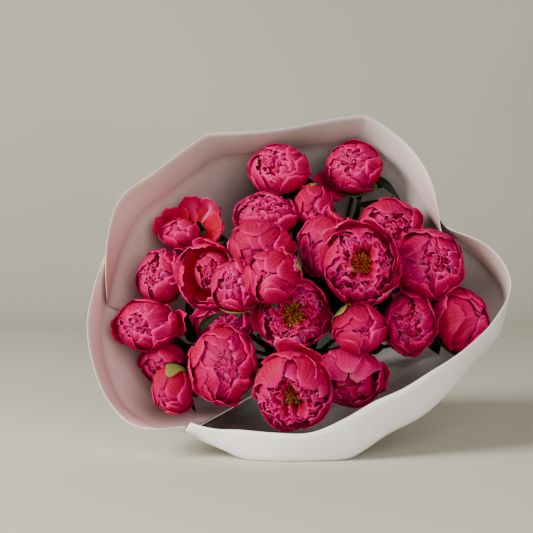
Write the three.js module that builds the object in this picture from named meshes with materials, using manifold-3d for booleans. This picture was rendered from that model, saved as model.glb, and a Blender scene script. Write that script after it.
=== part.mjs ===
// A bunch of peonies in a paper wrap, lying on its side on a flat surface.
// Each flower head, each stem with its leaves, each sheet of paper and each tie is a mesh of its own.
// Millimetres and degrees. +X is to the right of someone who looks into the flowers, +Y runs from the
// flowers back to the cut stem ends, +Z is up.

import * as THREE from "three";
import { mergeVertices } from "three/addons/utils/BufferGeometryUtils.js";
import Module from "manifold-3d";

const wasm = await Module();
wasm.setup();

// The line that the stems follow, through the tie and the middle of the wrap's mouth. Stations along it
// are measured from the tie: towards the flowers above 0, towards the cut ends below 0.
const TIE = new THREE.Vector3(0, 350, 77);
const MOUTH = new THREE.Vector3(0, 0, 205);
const AXIS = new THREE.Vector3().subVectors(MOUTH, TIE).normalize();
const RIGHT = new THREE.Vector3(1, 0, 0);
const ABOVE = new THREE.Vector3().crossVectors(AXIS, RIGHT);

const SURFACE_Z = 3.5; // height of the surface that the bunch lies on, in the frame of the sizes above

const STEM_RADIUS = 3.2;
const STEM_TOP_RADIUS = 4.6; // the swelling that carries the flower
const STEM_SIDES = 5;
const STEM_SPANS = 5; // from the flower to the tie
const STEM_PITCH = 6.9; // from stem to stem where they are tied
const STEM_CLEAR = 1.4; // from a stem to another, and to another stem's flower
const CUT_STATION = -148; // the longest stem's cut end
const CUT_UNEVEN = 16; // how much shorter the shortest one is
const CUT_SPLAY = 1.25; // how much wider the bundle is at the cut ends
const SEAT_GAP = 0.35; // between a flower head and the end of its stem

const PETAL_THICKNESS = 0.9;
const LEAF_THICKNESS = 0.9;

const WAIST = 9; // the paper is tight round the stems for this far before and behind the tie
const BINDING = { radius: 22.3, thickness: 1.7, width: 12 };
const RIBBON = { radius: 30, thickness: 2, width: 13 };

// The flower heads: place of the middle, half the width, height and depth, where the flower looks (turn to
// the right and lift above the horizontal) and how far the petals are turned about that line.
const HEADS = [
  { name: "01", kind: "globe", at: [-25, 105, 357], size: [42, 35, 33], turn: -25, lift: 25, spin: 10 },
  { name: "02", kind: "globe", at: [74, 120, 360], size: [39, 35, 31], turn: -10, lift: 20, spin: 50 },
  { name: "03", kind: "bud", at: [20, 82, 308], size: [24, 29, 25], turn: -10, lift: -10, spin: 80 },
  { name: "04", kind: "globe", at: [-42, 73, 297], size: [41, 31, 30], turn: -5, lift: 38, spin: 25 },
  { name: "05", kind: "loose", at: [-141, 95, 283], size: [47, 35, 31], turn: -20, lift: 20, spin: 0 },
  { name: "06", kind: "globe", at: [-178, 72, 217], size: [32, 37, 29], turn: -20, lift: 15, spin: 30 },
  { name: "07", kind: "cup", at: [-117, 36, 223], size: [40, 43, 31], turn: -8, lift: -4, spin: 65 },
  { name: "08", kind: "globe", at: [-48, 19, 260], size: [41, 32, 31], turn: -12, lift: -15, spin: 0 },
  { name: "09", kind: "globe", at: [-78, -14, 211], size: [32, 33, 29], turn: -12, lift: 12, spin: 40 },
  { name: "10", kind: "bud", at: [-36, -58, 224], size: [34, 33, 29], turn: -20, lift: 5, spin: 15 },
  { name: "11", kind: "loose", at: [33, 50, 258], size: [34, 39, 26], turn: 0, lift: 10, spin: 20 },
  { name: "12", kind: "open", at: [73, -4, 237], size: [48, 51, 35], turn: 8, lift: 4, spin: 0 },
  { name: "13", kind: "globe", at: [120, 91, 281], size: [43, 37, 32], turn: 5, lift: -5, spin: 70 },
  { name: "14", kind: "globe", at: [164, 41, 235], size: [45, 46, 35], turn: 3, lift: 8, spin: 35 },
  { name: "15", kind: "globe", at: [205, 50, 163], size: [36, 43, 34], turn: 40, lift: 22, spin: 5 },
  { name: "16", kind: "cup", at: [137, 19, 162], size: [33, 39, 30], turn: -4, lift: 0, spin: 20 },
  { name: "17", kind: "bud", at: [70, -35, 160], size: [33, 31, 29], turn: 10, lift: 5, spin: 60 },
  { name: "18", kind: "open", at: [-9, 2, 175], size: [49, 44, 32], turn: 3, lift: 3, spin: 25 },
  { name: "19", kind: "loose", at: [63, -2, 98], size: [43, 36, 31], turn: 0, lift: -28, spin: 45 },
  { name: "20", kind: "open", at: [-10, -48, 87], size: [47, 51, 34], turn: -3, lift: -14, spin: 10 },
  { name: "21", kind: "cup", at: [-93, -15, 116], size: [39, 45, 34], turn: 5, lift: -3, spin: 75 },
  { name: "22", kind: "globe", at: [-95, 50, 158], size: [38, 27, 26], turn: -5, lift: 0, spin: 55 },
  { name: "23", kind: "globe", at: [-194, 43, 158], size: [41, 33, 31], turn: -15, lift: 8, spin: 15 },
  { name: "24", kind: "loose", at: [-173, 68, 104], size: [38, 32, 28], turn: -30, lift: -14, spin: 30 },
  { name: "25", kind: "bud", at: [-156, 1, 82], size: [26, 32, 28], turn: -22, lift: -24, spin: 5 },
];

const radians = THREE.MathUtils.degToRad;
const mix = THREE.MathUtils.lerp;
const smooth = THREE.MathUtils.smoothstep;

// A head's petals. Radii are shares of the head's half width, height and depth. "rise" and "reach" say
// how far up round the head a place lies, from 0 at the stem to 180 at the tip. The heart is a closed body
// whose steps are the free edges of the inner petals; the layers are petals that stand out of it, the
// outermost first.
const KINDS = {
  bud: {
    heart: {
      petals: 3,
      foot: 0.88,
      tip: 0.84,
      rings: [
        { rise: 58, radius: 0.76, step: 0.02, arch: 0 },
        { rise: 116, radius: 0.7, step: 0.04, arch: 4 },
        { rise: 158, radius: 0.86, step: 0.09, arch: 6 },
      ],
    },
    layers: [{ petals: 4, radius: 0.96, reach: 140, half: 54, lean: 0.07, flare: -0.05 }],
  },
  globe: {
    heart: {
      petals: 4,
      foot: 0.88,
      tip: 0.52,
      rings: [
        { rise: 58, radius: 0.75, step: 0.02, arch: 0 },
        { rise: 120, radius: 0.72, step: 0.05, arch: 6 },
        { rise: 152, radius: 0.88, step: 0.08, arch: 4 },
        { rise: 154, radius: 0.66, step: 0.04, arch: 3 },
      ],
    },
    layers: [{ petals: 5, radius: 0.96, reach: 120, half: 44, lean: 0.075, flare: 0.0 }],
  },
  cup: {
    heart: {
      petals: 3,
      foot: 0.88,
      tip: 0.5,
      rings: [
        { rise: 42, radius: 0.7, step: 0.02, arch: 0 },
        { rise: 148, radius: 0.58, step: 0.08, arch: 8 },
      ],
    },
    layers: [
      { petals: 5, radius: 0.96, reach: 126, half: 43, lean: 0.075, flare: 0.0 },
      { petals: 3, radius: 0.73, reach: 136, half: 55, lean: 0.06, flare: -0.02 },
    ],
  },
  loose: {
    heart: {
      petals: 3,
      foot: 0.88,
      tip: 0.5,
      rings: [
        { rise: 42, radius: 0.7, step: 0.02, arch: 0 },
        { rise: 150, radius: 0.56, step: 0.1, arch: 10 },
      ],
    },
    layers: [
      { petals: 5, radius: 0.94, reach: 110, half: 42, lean: 0.07, flare: 0.05 },
      { petals: 3, radius: 0.72, reach: 134, half: 50, lean: 0.06, flare: 0.02 },
    ],
  },
  open: {
    heart: {
      petals: 3,
      foot: 0.88,
      tip: 0.12,
      rings: [
        { rise: 34, radius: 0.7, step: 0.02, arch: 0 },
        { rise: 108, radius: 0.34, step: 0.01, arch: 0 },
      ],
    },
    layers: [
      { petals: 5, radius: 0.95, reach: 112, half: 45, lean: 0.07, flare: 0.05 },
      { petals: 4, radius: 0.7, reach: 122, half: 42, lean: 0.06, flare: 0.0 },
    ],
  },
};

// Solids

// A closed mesh with its shared corners merged, as a solid that can be joined and cut.
function solidOf(geometry) {
  const bare = geometry.index ? geometry.toNonIndexed() : geometry.clone();
  bare.deleteAttribute("normal");
  bare.deleteAttribute("uv");
  const merged = mergeVertices(bare, 1e-3);
  return new wasm.Manifold(
    new wasm.Mesh({
      numProp: 3,
      vertProperties: merged.attributes.position.array,
      triVerts: new Uint32Array(merged.index.array),
    }),
  );
}

// Joined pieces as one body, moved to its place. A scrap that came loose is dropped, and a hollow that
// joining sealed is filled.
function fuse(solids, place = new THREE.Matrix4()) {
  const joined = solids.reduce((sum, solid) => sum.add(solid));
  const bodies = solidOf(geometryOf(joined).applyMatrix4(place)).decompose();
  return bodies.reduce((best, body) => (body.volume() > best.volume() ? body : best));
}

function geometryOf(solid) {
  const mesh = solid.getMesh();
  const corners = new Float32Array(mesh.numVert * 3);
  for (let i = 0; i < mesh.numVert; i++) {
    corners.set(mesh.vertProperties.subarray(i * mesh.numProp, i * mesh.numProp + 3), i * 3);
  }
  const geometry = new THREE.BufferGeometry();
  geometry.setAttribute("position", new THREE.BufferAttribute(corners, 3));
  geometry.setIndex(new THREE.BufferAttribute(new Uint32Array(mesh.triVerts), 1));
  geometry.computeVertexNormals();
  return geometry;
}

function meshGeometry(corners, faces) {
  const geometry = new THREE.BufferGeometry();
  const flat = corners.flatMap((corner) => corner.toArray());
  geometry.setAttribute("position", new THREE.Float32BufferAttribute(flat, 3));
  geometry.setIndex(faces);
  return geometry;
}

// A thin closed blade on a grid: point(column, row, side) places a corner, with side 0 on its outer face
// and 1 on its inner one. Both faces are split into triangles alike.
function blade(columns, rows, point) {
  const corners = [];
  const faces = [];
  const count = (columns + 1) * (rows + 1);
  for (const side of [0, 1]) {
    for (let j = 0; j <= rows; j++) {
      for (let i = 0; i <= columns; i++) corners.push(point(i, j, side));
    }
  }
  const outer = (i, j) => j * (columns + 1) + i;
  const inner = (i, j) => count + outer(i, j);
  for (let j = 0; j < rows; j++) {
    for (let i = 0; i < columns; i++) {
      const [a, b, c, d] = [outer(i, j), outer(i + 1, j), outer(i + 1, j + 1), outer(i, j + 1)];
      faces.push(a, b, c, a, c, d);
      faces.push(count + a, count + c, count + b, count + a, count + d, count + c);
    }
  }
  const rim = [];
  for (let i = 0; i < columns; i++) rim.push([i, 0]);
  for (let j = 0; j < rows; j++) rim.push([columns, j]);
  for (let i = columns; i > 0; i--) rim.push([i, rows]);
  for (let j = rows; j > 0; j--) rim.push([0, j]);
  rim.forEach((from, k) => {
    const to = rim[(k + 1) % rim.length];
    faces.push(outer(...from), inner(...from), inner(...to));
    faces.push(outer(...from), inner(...to), outer(...to));
  });
  return meshGeometry(corners, faces);
}

// A body of closed rings of corners, each ring as long as the others, with a point at either end.
function ringBody(rings, first, last) {
  const sides = rings[0].length;
  const corners = [first, ...rings.flat(), last];
  const at = (ring, side) => 1 + ring * sides + (side % sides);
  const faces = [];
  for (let s = 0; s < sides; s++) {
    faces.push(0, at(0, s + 1), at(0, s));
    for (let r = 0; r < rings.length - 1; r++) {
      faces.push(at(r, s), at(r, s + 1), at(r + 1, s + 1));
      faces.push(at(r, s), at(r + 1, s + 1), at(r + 1, s));
    }
    faces.push(at(rings.length - 1, s), at(rings.length - 1, s + 1), corners.length - 1);
  }
  return meshGeometry(corners, faces);
}

// Flower heads

// A point on a head: "around" about the line of sight of the flower, "rise" up from the stem.
function onHead(head, share, around, rise) {
  const [wide, high, deep] = head.size;
  return new THREE.Vector3(
    share * wide * Math.sin(rise) * Math.cos(around),
    share * high * Math.sin(rise) * Math.sin(around),
    -share * deep * Math.cos(rise),
  );
}

function meanSize(head) {
  return Math.cbrt(head.size[0] * head.size[1] * head.size[2]);
}

const HEART_TWIST = 9; // from ring to ring, so that the inner petals wind round the head

function heartSolid(head) {
  const { petals, rings, foot, tip } = KINDS[head.kind].heart;
  const rows = rings.map((ring, k) => {
    const row = [];
    for (let p = 0; p < petals; p++) {
      for (const side of [-1, 0, 1]) {
        const around = head.spin + HEART_TWIST * k + (360 * (p + 0.5 + side / 2)) / petals;
        const rise = ring.rise + (side === 0 ? ring.arch : 0);
        const share = ring.radius + (side * ring.step) / 2;
        row.push(onHead(head, share, radians(around), radians(rise)));
      }
    }
    return row;
  });
  return solidOf(ringBody(rows, onHead(head, foot, 0, 0), onHead(head, tip, 0, Math.PI)));
}

const PETAL_ROWS = [3, 2]; // in an outer and in an inner layer
const PETAL_FOOT = 0.13; // where a petal leaves the heart, as a share of its length
const PETAL_ROUND = 0.14; // how much shorter a petal is at its sides

function petalSolid(head, layer, rows, around) {
  const reach = radians(layer.reach);
  const half = radians(layer.half);
  return solidOf(
    blade(2, rows, (i, j, side) => {
      const across = i - 1;
      const along = j / rows;
      const rise = reach * mix(PETAL_FOOT, 1, along) * (1 - PETAL_ROUND * across * across * along);
      const wide = half * mix(0.36, 1, smooth(along, 0, 0.4)) * (1 - 0.08 * along);
      const foot = mix(0.68, 1, smooth(along, -0.1, 0.55));
      const full = layer.radius * foot * (1 + layer.lean * across * foot + layer.flare * along ** 3);
      const inward = (side * PETAL_THICKNESS) / meanSize(head);
      return onHead(head, full - inward, around + wide * across, rise);
    }),
  );
}

function headSolid(head) {
  const pieces = [heartSolid(head)];
  KINDS[head.kind].layers.forEach((layer, depth) => {
    for (let k = 0; k < layer.petals; k++) {
      const around = radians(head.spin + (360 * (k + depth * 0.5)) / layer.petals);
      pieces.push(petalSolid(head, layer, PETAL_ROWS[depth], around));
    }
  });
  return fuse(pieces, placeOf(head));
}

// The tuft of stamens in the middle of an open flower, on the tip of its heart.
const STAMENS = { count: 11, length: 12, radius: 1.3, spread: 52, seat: 0.3, cushion: 5.5 };

function stamensSolid(head) {
  const foot = head.size[2] * KINDS.open.heart.tip + STAMENS.seat;
  const cushion = new THREE.CylinderGeometry(STAMENS.cushion * 0.6, STAMENS.cushion, 3, 6);
  cushion.rotateX(Math.PI / 2).translate(0, 0, foot + 1.5);
  const pieces = [solidOf(cushion)];
  for (let k = 0; k < STAMENS.count; k++) {
    const lean = radians(k === 0 ? 0 : STAMENS.spread * (k % 2 ? 1 : 0.55));
    const stamen = new THREE.ConeGeometry(STAMENS.radius, STAMENS.length, 3);
    stamen.rotateX(-Math.PI / 2).translate(0, 0, -STAMENS.length / 2 - 1.5);
    stamen.rotateX(Math.PI).rotateX(lean).rotateZ((2 * Math.PI * k) / (STAMENS.count - 1));
    pieces.push(solidOf(stamen.translate(0, 0, foot + 0.8)));
  }
  return fuse(pieces, placeOf(head));
}

// Where the flower looks.
function facing(head) {
  const turn = radians(head.turn);
  const lift = radians(head.lift);
  return new THREE.Vector3(
    Math.sin(turn) * Math.cos(lift),
    -Math.cos(turn) * Math.cos(lift),
    Math.sin(lift),
  );
}

function placeOf(head) {
  const out = facing(head);
  const right = new THREE.Vector3(0, 0, 1).cross(out).normalize();
  const up = new THREE.Vector3().crossVectors(out, right);
  return new THREE.Matrix4().makeBasis(right, up, out).setPosition(...head.at);
}

// Stems

// Where the stems cross the plane of the tie: the middle one, two rings round it and half of a third.
function bundlePlaces() {
  const places = [];
  for (let row = -3; row <= 3; row++) {
    for (let k = -3; k <= 3; k++) {
      const u = STEM_PITCH * (k + row / 2);
      const v = STEM_PITCH * row * Math.sin(Math.PI / 3);
      places.push([u, v]);
    }
  }
  const outward = ([u, v]) => Math.hypot(u, v) + 0.001 * Math.abs(((Math.atan2(v, u) * 9) / Math.PI) % 2);
  return places.sort((a, b) => outward(a) - outward(b)).slice(0, HEADS.length);
}

function acrossAxis(point) {
  const from = new THREE.Vector3().subVectors(point, TIE);
  return [from.dot(RIGHT), from.dot(ABOVE)];
}

function alongAxis(station, u, v) {
  return TIE.clone().addScaledVector(AXIS, station).addScaledVector(RIGHT, u).addScaledVector(ABOVE, v);
}

const BUNDLE_SHARE = 0.1; // the bundle's width as a share of the flowers' spread

// Each head's place in the bundle, such that the stems have the least way to go across it.
function sharedOut() {
  const wish = HEADS.map((head) => acrossAxis(new THREE.Vector3(...head.at)).map((w) => w * BUNDLE_SHARE));
  const places = bundlePlaces();
  const cost = (i, j) => (wish[i][0] - places[j][0]) ** 2 + (wish[i][1] - places[j][1]) ** 2;
  const share = HEADS.map((head, i) => i);
  for (let swapped = true; swapped; ) {
    swapped = false;
    for (let i = 0; i < share.length; i++) {
      for (let k = 0; k < i; k++) {
        const now = cost(i, share[i]) + cost(k, share[k]);
        if (cost(i, share[k]) + cost(k, share[i]) < now - 1e-9) {
          [share[i], share[k]] = [share[k], share[i]];
          swapped = true;
        }
      }
    }
  }
  return share.map((j) => places[j]);
}

// The end of a head's stem, just below the head.
function seatOf(head) {
  const down = head.size[2] * KINDS[head.kind].heart.foot + SEAT_GAP;
  return new THREE.Vector3(...head.at).addScaledVector(facing(head), -down);
}

// How far a head reaches from its middle in a direction.
function reachOf(head, direction) {
  const inside = direction.clone().transformDirection(placeOf(head).invert());
  const [wide, high, deep] = head.size;
  return 1 / Math.hypot(inside.x / wide, inside.y / high, inside.z / deep);
}

// Shares of the way along two straight spans where they come closest.
function closest(a, b, c, d) {
  const ab = new THREE.Vector3().subVectors(b, a);
  const cd = new THREE.Vector3().subVectors(d, c);
  const ca = new THREE.Vector3().subVectors(a, c);
  const [aa, cc, ac] = [ab.dot(ab), cd.dot(cd), ab.dot(cd)];
  const slack = aa * cc - ac * ac;
  const limit = (x) => THREE.MathUtils.clamp(x, 0, 1);
  let s = slack > 1e-6 ? limit((ac * cd.dot(ca) - cc * ab.dot(ca)) / slack) : 0.5;
  const t = limit((s * ac + cd.dot(ca)) / cc);
  s = limit((t * ac - ab.dot(ca)) / aa);
  return [s, t];
}

const MOST_PUSH = 4; // in one round of bending the stems clear
const LARGEST_HEAD = 60; // no head matters to a stem that is farther than this from its middle
const STRAIGHTEN = 0.12; // in one round, towards a stem that leaves its flower square

// Moves the free ends of a span so that its point at "share" goes along "push".
function shift(path, k, share, push) {
  if (k > 0) path[k].addScaledVector(push, 1 - share);
  if (k + 1 < STEM_SPANS) path[k + 1].addScaledVector(push, share);
}

// Bends the stems clear of the heads and of each other, and evens them out.
function bendClear(paths) {
  const push = new THREE.Vector3();
  const [here, there] = [new THREE.Vector3(), new THREE.Vector3()];
  const apart = (from, to, need) => {
    push.subVectors(from, to);
    const short = need - push.length();
    if (short <= 0) return false;
    push.setLength(Math.min(short, MOST_PUSH) * 0.5);
    return true;
  };
  paths.forEach((path, i) => {
    const straight = facing(HEADS[i]).multiplyScalar(-path[0].distanceTo(path[1]));
    path[1].lerp(straight.add(path[0]), STRAIGHTEN);
    for (let k = 1; k < STEM_SPANS; k++) {
      const middle = new THREE.Vector3().addVectors(path[k - 1], path[k + 1]).multiplyScalar(0.5);
      path[k].lerp(middle, 0.15);
    }
    HEADS.forEach((head, h) => {
      const centre = new THREE.Vector3(...head.at);
      for (let k = h === i ? 1 : 0; k < STEM_SPANS; k++) {
        const [nearest] = closest(path[k], path[k + 1], centre, centre.clone().addScalar(1e-3));
        for (const step of [-0.2, -0.1, 0, 0.1, 0.2]) {
          const share = THREE.MathUtils.clamp(nearest + step, 0, 1);
          here.lerpVectors(path[k], path[k + 1], share);
          if (here.distanceTo(centre) > LARGEST_HEAD) continue;
          const reach = reachOf(head, there.subVectors(here, centre).normalize());
          if (apart(here, centre, reach + STEM_RADIUS + STEM_CLEAR)) shift(path, k, share, push);
        }
      }
    });
    for (let other = 0; other < i; other++) {
      for (let k = 0; k < STEM_SPANS; k++) {
        for (let m = 0; m < STEM_SPANS; m++) {
          const far = paths[other];
          const [s, t] = closest(path[k], path[k + 1], far[m], far[m + 1]);
          here.lerpVectors(path[k], path[k + 1], s);
          there.lerpVectors(far[m], far[m + 1], t);
          if (!apart(here, there, 2 * STEM_RADIUS + STEM_CLEAR)) continue;
          shift(path, k, s, push);
          shift(far, m, t, push.negate());
        }
      }
    }
  });
}

const BENDING_ROUNDS = 260;
const WAIST_REACH = WAIST + 5; // the stems run straight for this far before and behind the tie

function stemPaths() {
  const places = sharedOut();
  const paths = HEADS.map((head, i) => {
    const seat = seatOf(head);
    const tied = alongAxis(WAIST_REACH, ...places[i]);
    const reach = seat.distanceTo(tied) / 3;
    const curve = new THREE.CubicBezierCurve3(
      seat,
      seat.clone().addScaledVector(facing(head), -reach),
      tied.clone().addScaledVector(AXIS, reach),
      tied,
    );
    return curve.getPoints(STEM_SPANS);
  });
  for (let round = 0; round < BENDING_ROUNDS; round++) bendClear(paths);
  paths.forEach((path, i) => {
    const [u, v] = places[i];
    const cut = CUT_STATION + CUT_UNEVEN * ((i * 0.618) % 1);
    path.push(alongAxis(-WAIST_REACH, u, v), alongAxis(cut, u * CUT_SPLAY, v * CUT_SPLAY));
  });
  return paths;
}

function stemSolid(path) {
  const side = new THREE.Vector3();
  const up = new THREE.Vector3();
  const rings = path.map((point, k) => {
    const before = path[Math.max(k - 1, 0)];
    const after = path[Math.min(k + 1, path.length - 1)];
    const along = new THREE.Vector3().subVectors(after, before).normalize();
    side.crossVectors(ABOVE, along).normalize();
    up.crossVectors(along, side);
    const radius = k === 0 ? STEM_TOP_RADIUS : STEM_RADIUS;
    return Array.from({ length: STEM_SIDES }, (_, s) => {
      const turn = (2 * Math.PI * s) / STEM_SIDES;
      return point
        .clone()
        .addScaledVector(side, radius * Math.cos(turn))
        .addScaledVector(up, radius * Math.sin(turn));
    });
  });
  return solidOf(ringBody(rings, path[0], path[path.length - 1]));
}

// Leaves

// A repeatable run of numbers from 0 to 1.
function drawFrom(seed) {
  let state = seed;
  return () => {
    state = (state * 1664525 + 1013904223) % 4294967296;
    return state / 4294967296;
  };
}

function distanceTo(path, point) {
  const near = new THREE.Vector3();
  const beside = point.clone().addScalar(1e-3);
  return Math.min(
    ...path.slice(1).map((to, k) => {
      const [share] = closest(path[k], to, point, beside);
      return near.lerpVectors(path[k], to, share).distanceTo(point);
    }),
  );
}

// Whether points keep clear of the other heads, the other stems and the blades that are already there.
function isClear(points, own, paths, placed, need) {
  const near = new THREE.Vector3();
  return points.every((point) => {
    const headsClear = HEADS.every((head, h) => {
      if (h === own && !need.ownHead) return true;
      const away = near.subVectors(point, new THREE.Vector3(...head.at)).length();
      return away > LARGEST_HEAD || away > reachOf(head, near.normalize()) + need.head;
    });
    if (!headsClear) return false;
    if (paths.some((path, k) => k !== own && distanceTo(path, point) < need.stem)) return false;
    return placed.every(([owner, other]) => owner === own || other.distanceTo(point) > need.leaf);
  });
}

// A blade along a line of points, with a width at each of them. Its face looks to "up". With two columns
// its sides are raised by "fold", a share of the width.
function leafSolid(line, widths, up, columns, fold) {
  return solidOf(
    blade(columns, line.length - 1, (i, j, side) => {
      const along = new THREE.Vector3()
        .subVectors(line[Math.min(j + 1, line.length - 1)], line[Math.max(j - 1, 0)])
        .normalize();
      const across = new THREE.Vector3().crossVectors(along, up).normalize();
      const face = new THREE.Vector3().crossVectors(across, along);
      return line[j]
        .clone()
        .addScaledVector(across, (i / columns - 0.5) * widths[j])
        .addScaledVector(face, (2 * i === columns ? 0 : fold) * widths[j] - side * LEAF_THICKNESS);
    }),
  );
}

// Points of a line and, to either side of it, of the blade's edges.
function samples(line, widths, up) {
  const points = [];
  for (let j = 1; j < line.length; j++) {
    const along = new THREE.Vector3().subVectors(line[j], line[j - 1]);
    const across = new THREE.Vector3().crossVectors(along, up).normalize();
    for (const share of [0.5, 1]) {
      const wide = mix(widths[j - 1], widths[j], share) / 2;
      for (const side of [-wide, 0, wide]) {
        points.push(line[j - 1].clone().addScaledVector(along, share).addScaledVector(across, side));
      }
    }
  }
  return points;
}

// Sepals stand round the underside of a head, on its stem.
const SEPALS = {
  most: 2,
  tries: 12,
  apart: 100,
  widths: [4, 16, 9],
  rises: [26, 56],
  out: [1.04, 1.06],
  need: { head: 2, stem: 6, leaf: 6 },
};

function sepals(head, own, paths, placed) {
  const seat = head.size[2] * KINDS[head.kind].heart.foot;
  const down = facing(head).negate();
  const found = [];
  const turns = [];
  for (let k = 0; k < SEPALS.tries && found.length < SEPALS.most - (own % 2); k++) {
    const turn = head.spin + (360 * k) / SEPALS.tries;
    if (turns.some((other) => Math.abs(turn - other) < SEPALS.apart)) continue;
    if (turns.some((other) => Math.abs(turn - other) > 360 - SEPALS.apart)) continue;
    const line = [new THREE.Vector3(0, 0, -seat - SEAT_GAP - 4)];
    SEPALS.rises.forEach((rise, r) => line.push(onHead(head, SEPALS.out[r], radians(turn), radians(rise))));
    line.forEach((point) => point.applyMatrix4(placeOf(head)));
    const points = samples(line, SEPALS.widths, down);
    if (!isClear(points, own, paths, placed, SEPALS.need)) continue;
    turns.push(turn);
    placed.push(...points.map((point) => [own, point]));
    found.push(leafSolid(line, SEPALS.widths, down, 1, 0));
  }
  return found;
}

const LEAFY_STEMS = 2; // one stem in so many has a leaf left on it

// Leaves grow from a stem between the flower and the tie, forwards and outwards.
const LEAVES = {
  most: 1,
  tries: 60,
  lengths: [62, 105],
  leans: [14, 46],
  width: 0.24, // of the length
  shape: [0.12, 1, 0.75, 0.08], // width along the leaf, as a share of the widest
  need: { head: 2.6, stem: 6, leaf: 6, ownHead: true },
};

function leaves(own, paths, placed) {
  const draw = drawFrom(own * 77 + 5);
  const found = [];
  const path = paths[own];
  for (let k = 0; k < LEAVES.tries && found.length < LEAVES.most; k++) {
    const span = 1 + Math.floor(draw() * 2.99);
    const foot = new THREE.Vector3().lerpVectors(path[span], path[span + 1], draw());
    const ahead = new THREE.Vector3().subVectors(path[span], path[span + 1]).normalize();
    const aside = new THREE.Vector3(draw() - 0.5, draw() - 0.5, draw() - 0.5).cross(ahead).normalize();
    const length = mix(...LEAVES.lengths, draw());
    const lean = radians(mix(...LEAVES.leans, draw()));
    const way = (turn) =>
      ahead.clone().multiplyScalar(Math.cos(turn)).addScaledVector(aside, Math.sin(turn));
    const line = [foot];
    for (const bend of [0.7, 1, 1.35]) {
      line.push(line[line.length - 1].clone().addScaledVector(way(lean * bend), length / 3));
    }
    const widths = LEAVES.shape.map((share) => share * length * LEAVES.width);
    const up = new THREE.Vector3().crossVectors(new THREE.Vector3().crossVectors(ahead, aside), way(lean));
    const points = samples(line, widths, up);
    const inPaper = points.every((point) => paperGap(point) > PAPER_CLEAR);
    if (!inPaper || !isClear(points.slice(3), own, paths, placed, LEAVES.need)) continue;
    placed.push(...points.map((point) => [own, point]));
    found.push(leafSolid(line, widths, up, 2, 0.12));
  }
  return found;
}

// Paper

// The wrap's widest line round the flowers: the angle about the axis from the right over the top, and
// there the station and the radius.
const GIRTH = [
  [-149, 305, 250],
  [-140, 312, 238],
  [-130, 325, 214],
  [-122, 330, 207],
  [-113, 335, 205],
  [-100, 340, 204],
  [-87, 340, 201],
  [-72, 340, 201],
  [-58, 338, 195],
  [-46, 332, 203],
  [-33, 325, 212],
  [-20, 312, 226],
  [-8, 302, 252],
  [3, 300, 258],
  [14, 300, 236],
  [25, 300, 212],
  [34, 300, 210],
  [43, 300, 219],
  [52, 300, 228],
  [61, 300, 236],
  [70, 300, 241],
  [80, 300, 227],
  [90, 300, 219],
  [99, 300, 216],
  [109, 300, 221],
  [118, 300, 230],
  [128, 300, 228],
  [139, 300, 231],
  [150, 300, 241],
  [161, 300, 241],
  [171, 300, 241],
  [180, 300, 244],
  [188, 300, 249],
  [199, 302, 252],
  [211, 305, 250],
  [220, 312, 238],
  [230, 325, 214],
];

// The sheets, the innermost first, with the free edge that each one has round the mouth: the same angles,
// and there the station and the radius.
const SHEETS = [
  {
    name: "paper_back",
    layer: 0,
    rim: [
      [25, 345, 198],
      [34, 350, 213],
      [43, 350, 231],
      [52, 350, 245],
      [61, 350, 254],
      [70, 350, 261],
      [80, 350, 243],
      [90, 350, 230],
      [99, 350, 227],
      [109, 350, 234],
      [118, 350, 248],
      [128, 350, 246],
      [139, 350, 249],
      [150, 350, 262],
      [161, 350, 255],
      [171, 348, 246],
      [180, 344, 240],
    ],
  },
  {
    name: "paper_left",
    layer: 1,
    rim: [
      [161, 318, 252],
      [171, 348, 252],
      [180, 355, 257],
      [188, 355, 264],
      [199, 355, 267],
      [211, 355, 267],
      [220, 358, 257],
      [230, 355, 214],
    ],
  },
  {
    name: "paper_front",
    layer: 2,
    rim: [
      [-130, 345, 206],
      [-122, 352, 196],
      [-113, 362, 184],
      [-100, 370, 177],
      [-87, 372, 175],
      [-72, 374, 166],
      [-58, 376, 163],
      [-46, 376, 172],
      [-33, 374, 186],
      [-20, 370, 212],
      [-8, 366, 241],
      [3, 360, 262],
      [14, 358, 247],
      [25, 348, 210],
      [34, 312, 217],
    ],
  },
];

const PAPER_THICKNESS = 1.1; // across the axis, so a little less through the sloping sheet
const NECK_RADIUS = 24.5; // of the innermost sheet at the tie
const NECK_LAYER = 1.6; // from sheet to sheet at the tie
const LAYER = 2.8; // from sheet to sheet round the flowers
const TAIL = { station: -44, radius: 37 };
const SPREAD = [0.28, 0.55, 0.78, 1]; // shares of the way from the tie to the widest line
const BELLY = 0.8; // below 1 the paper rounds out on its way
const LOW_BELLY = 0.68; // and more so underneath, where the flowers weigh it down
const LOW_FROM = -125;
const LOW_TO = -60;
const SURFACE_REACH = 4.5; // paper this near the surface lies on it

function bellyAt(angle) {
  return angle > LOW_FROM && angle < LOW_TO ? LOW_BELLY : BELLY;
}

function paperPoint(angle, station, radius, layer, side) {
  const out = radius + (1 - side) * PAPER_THICKNESS;
  const point = alongAxis(station, out * Math.cos(radians(angle)), out * Math.sin(radians(angle)));
  const lowest = SURFACE_Z + side * PAPER_THICKNESS + (SHEETS.length - 1 - layer) * LAYER;
  if (point.z < lowest + SURFACE_REACH) point.z = lowest;
  return point;
}

const PAPER_CLEAR = 9; // from a leaf to the paper

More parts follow.
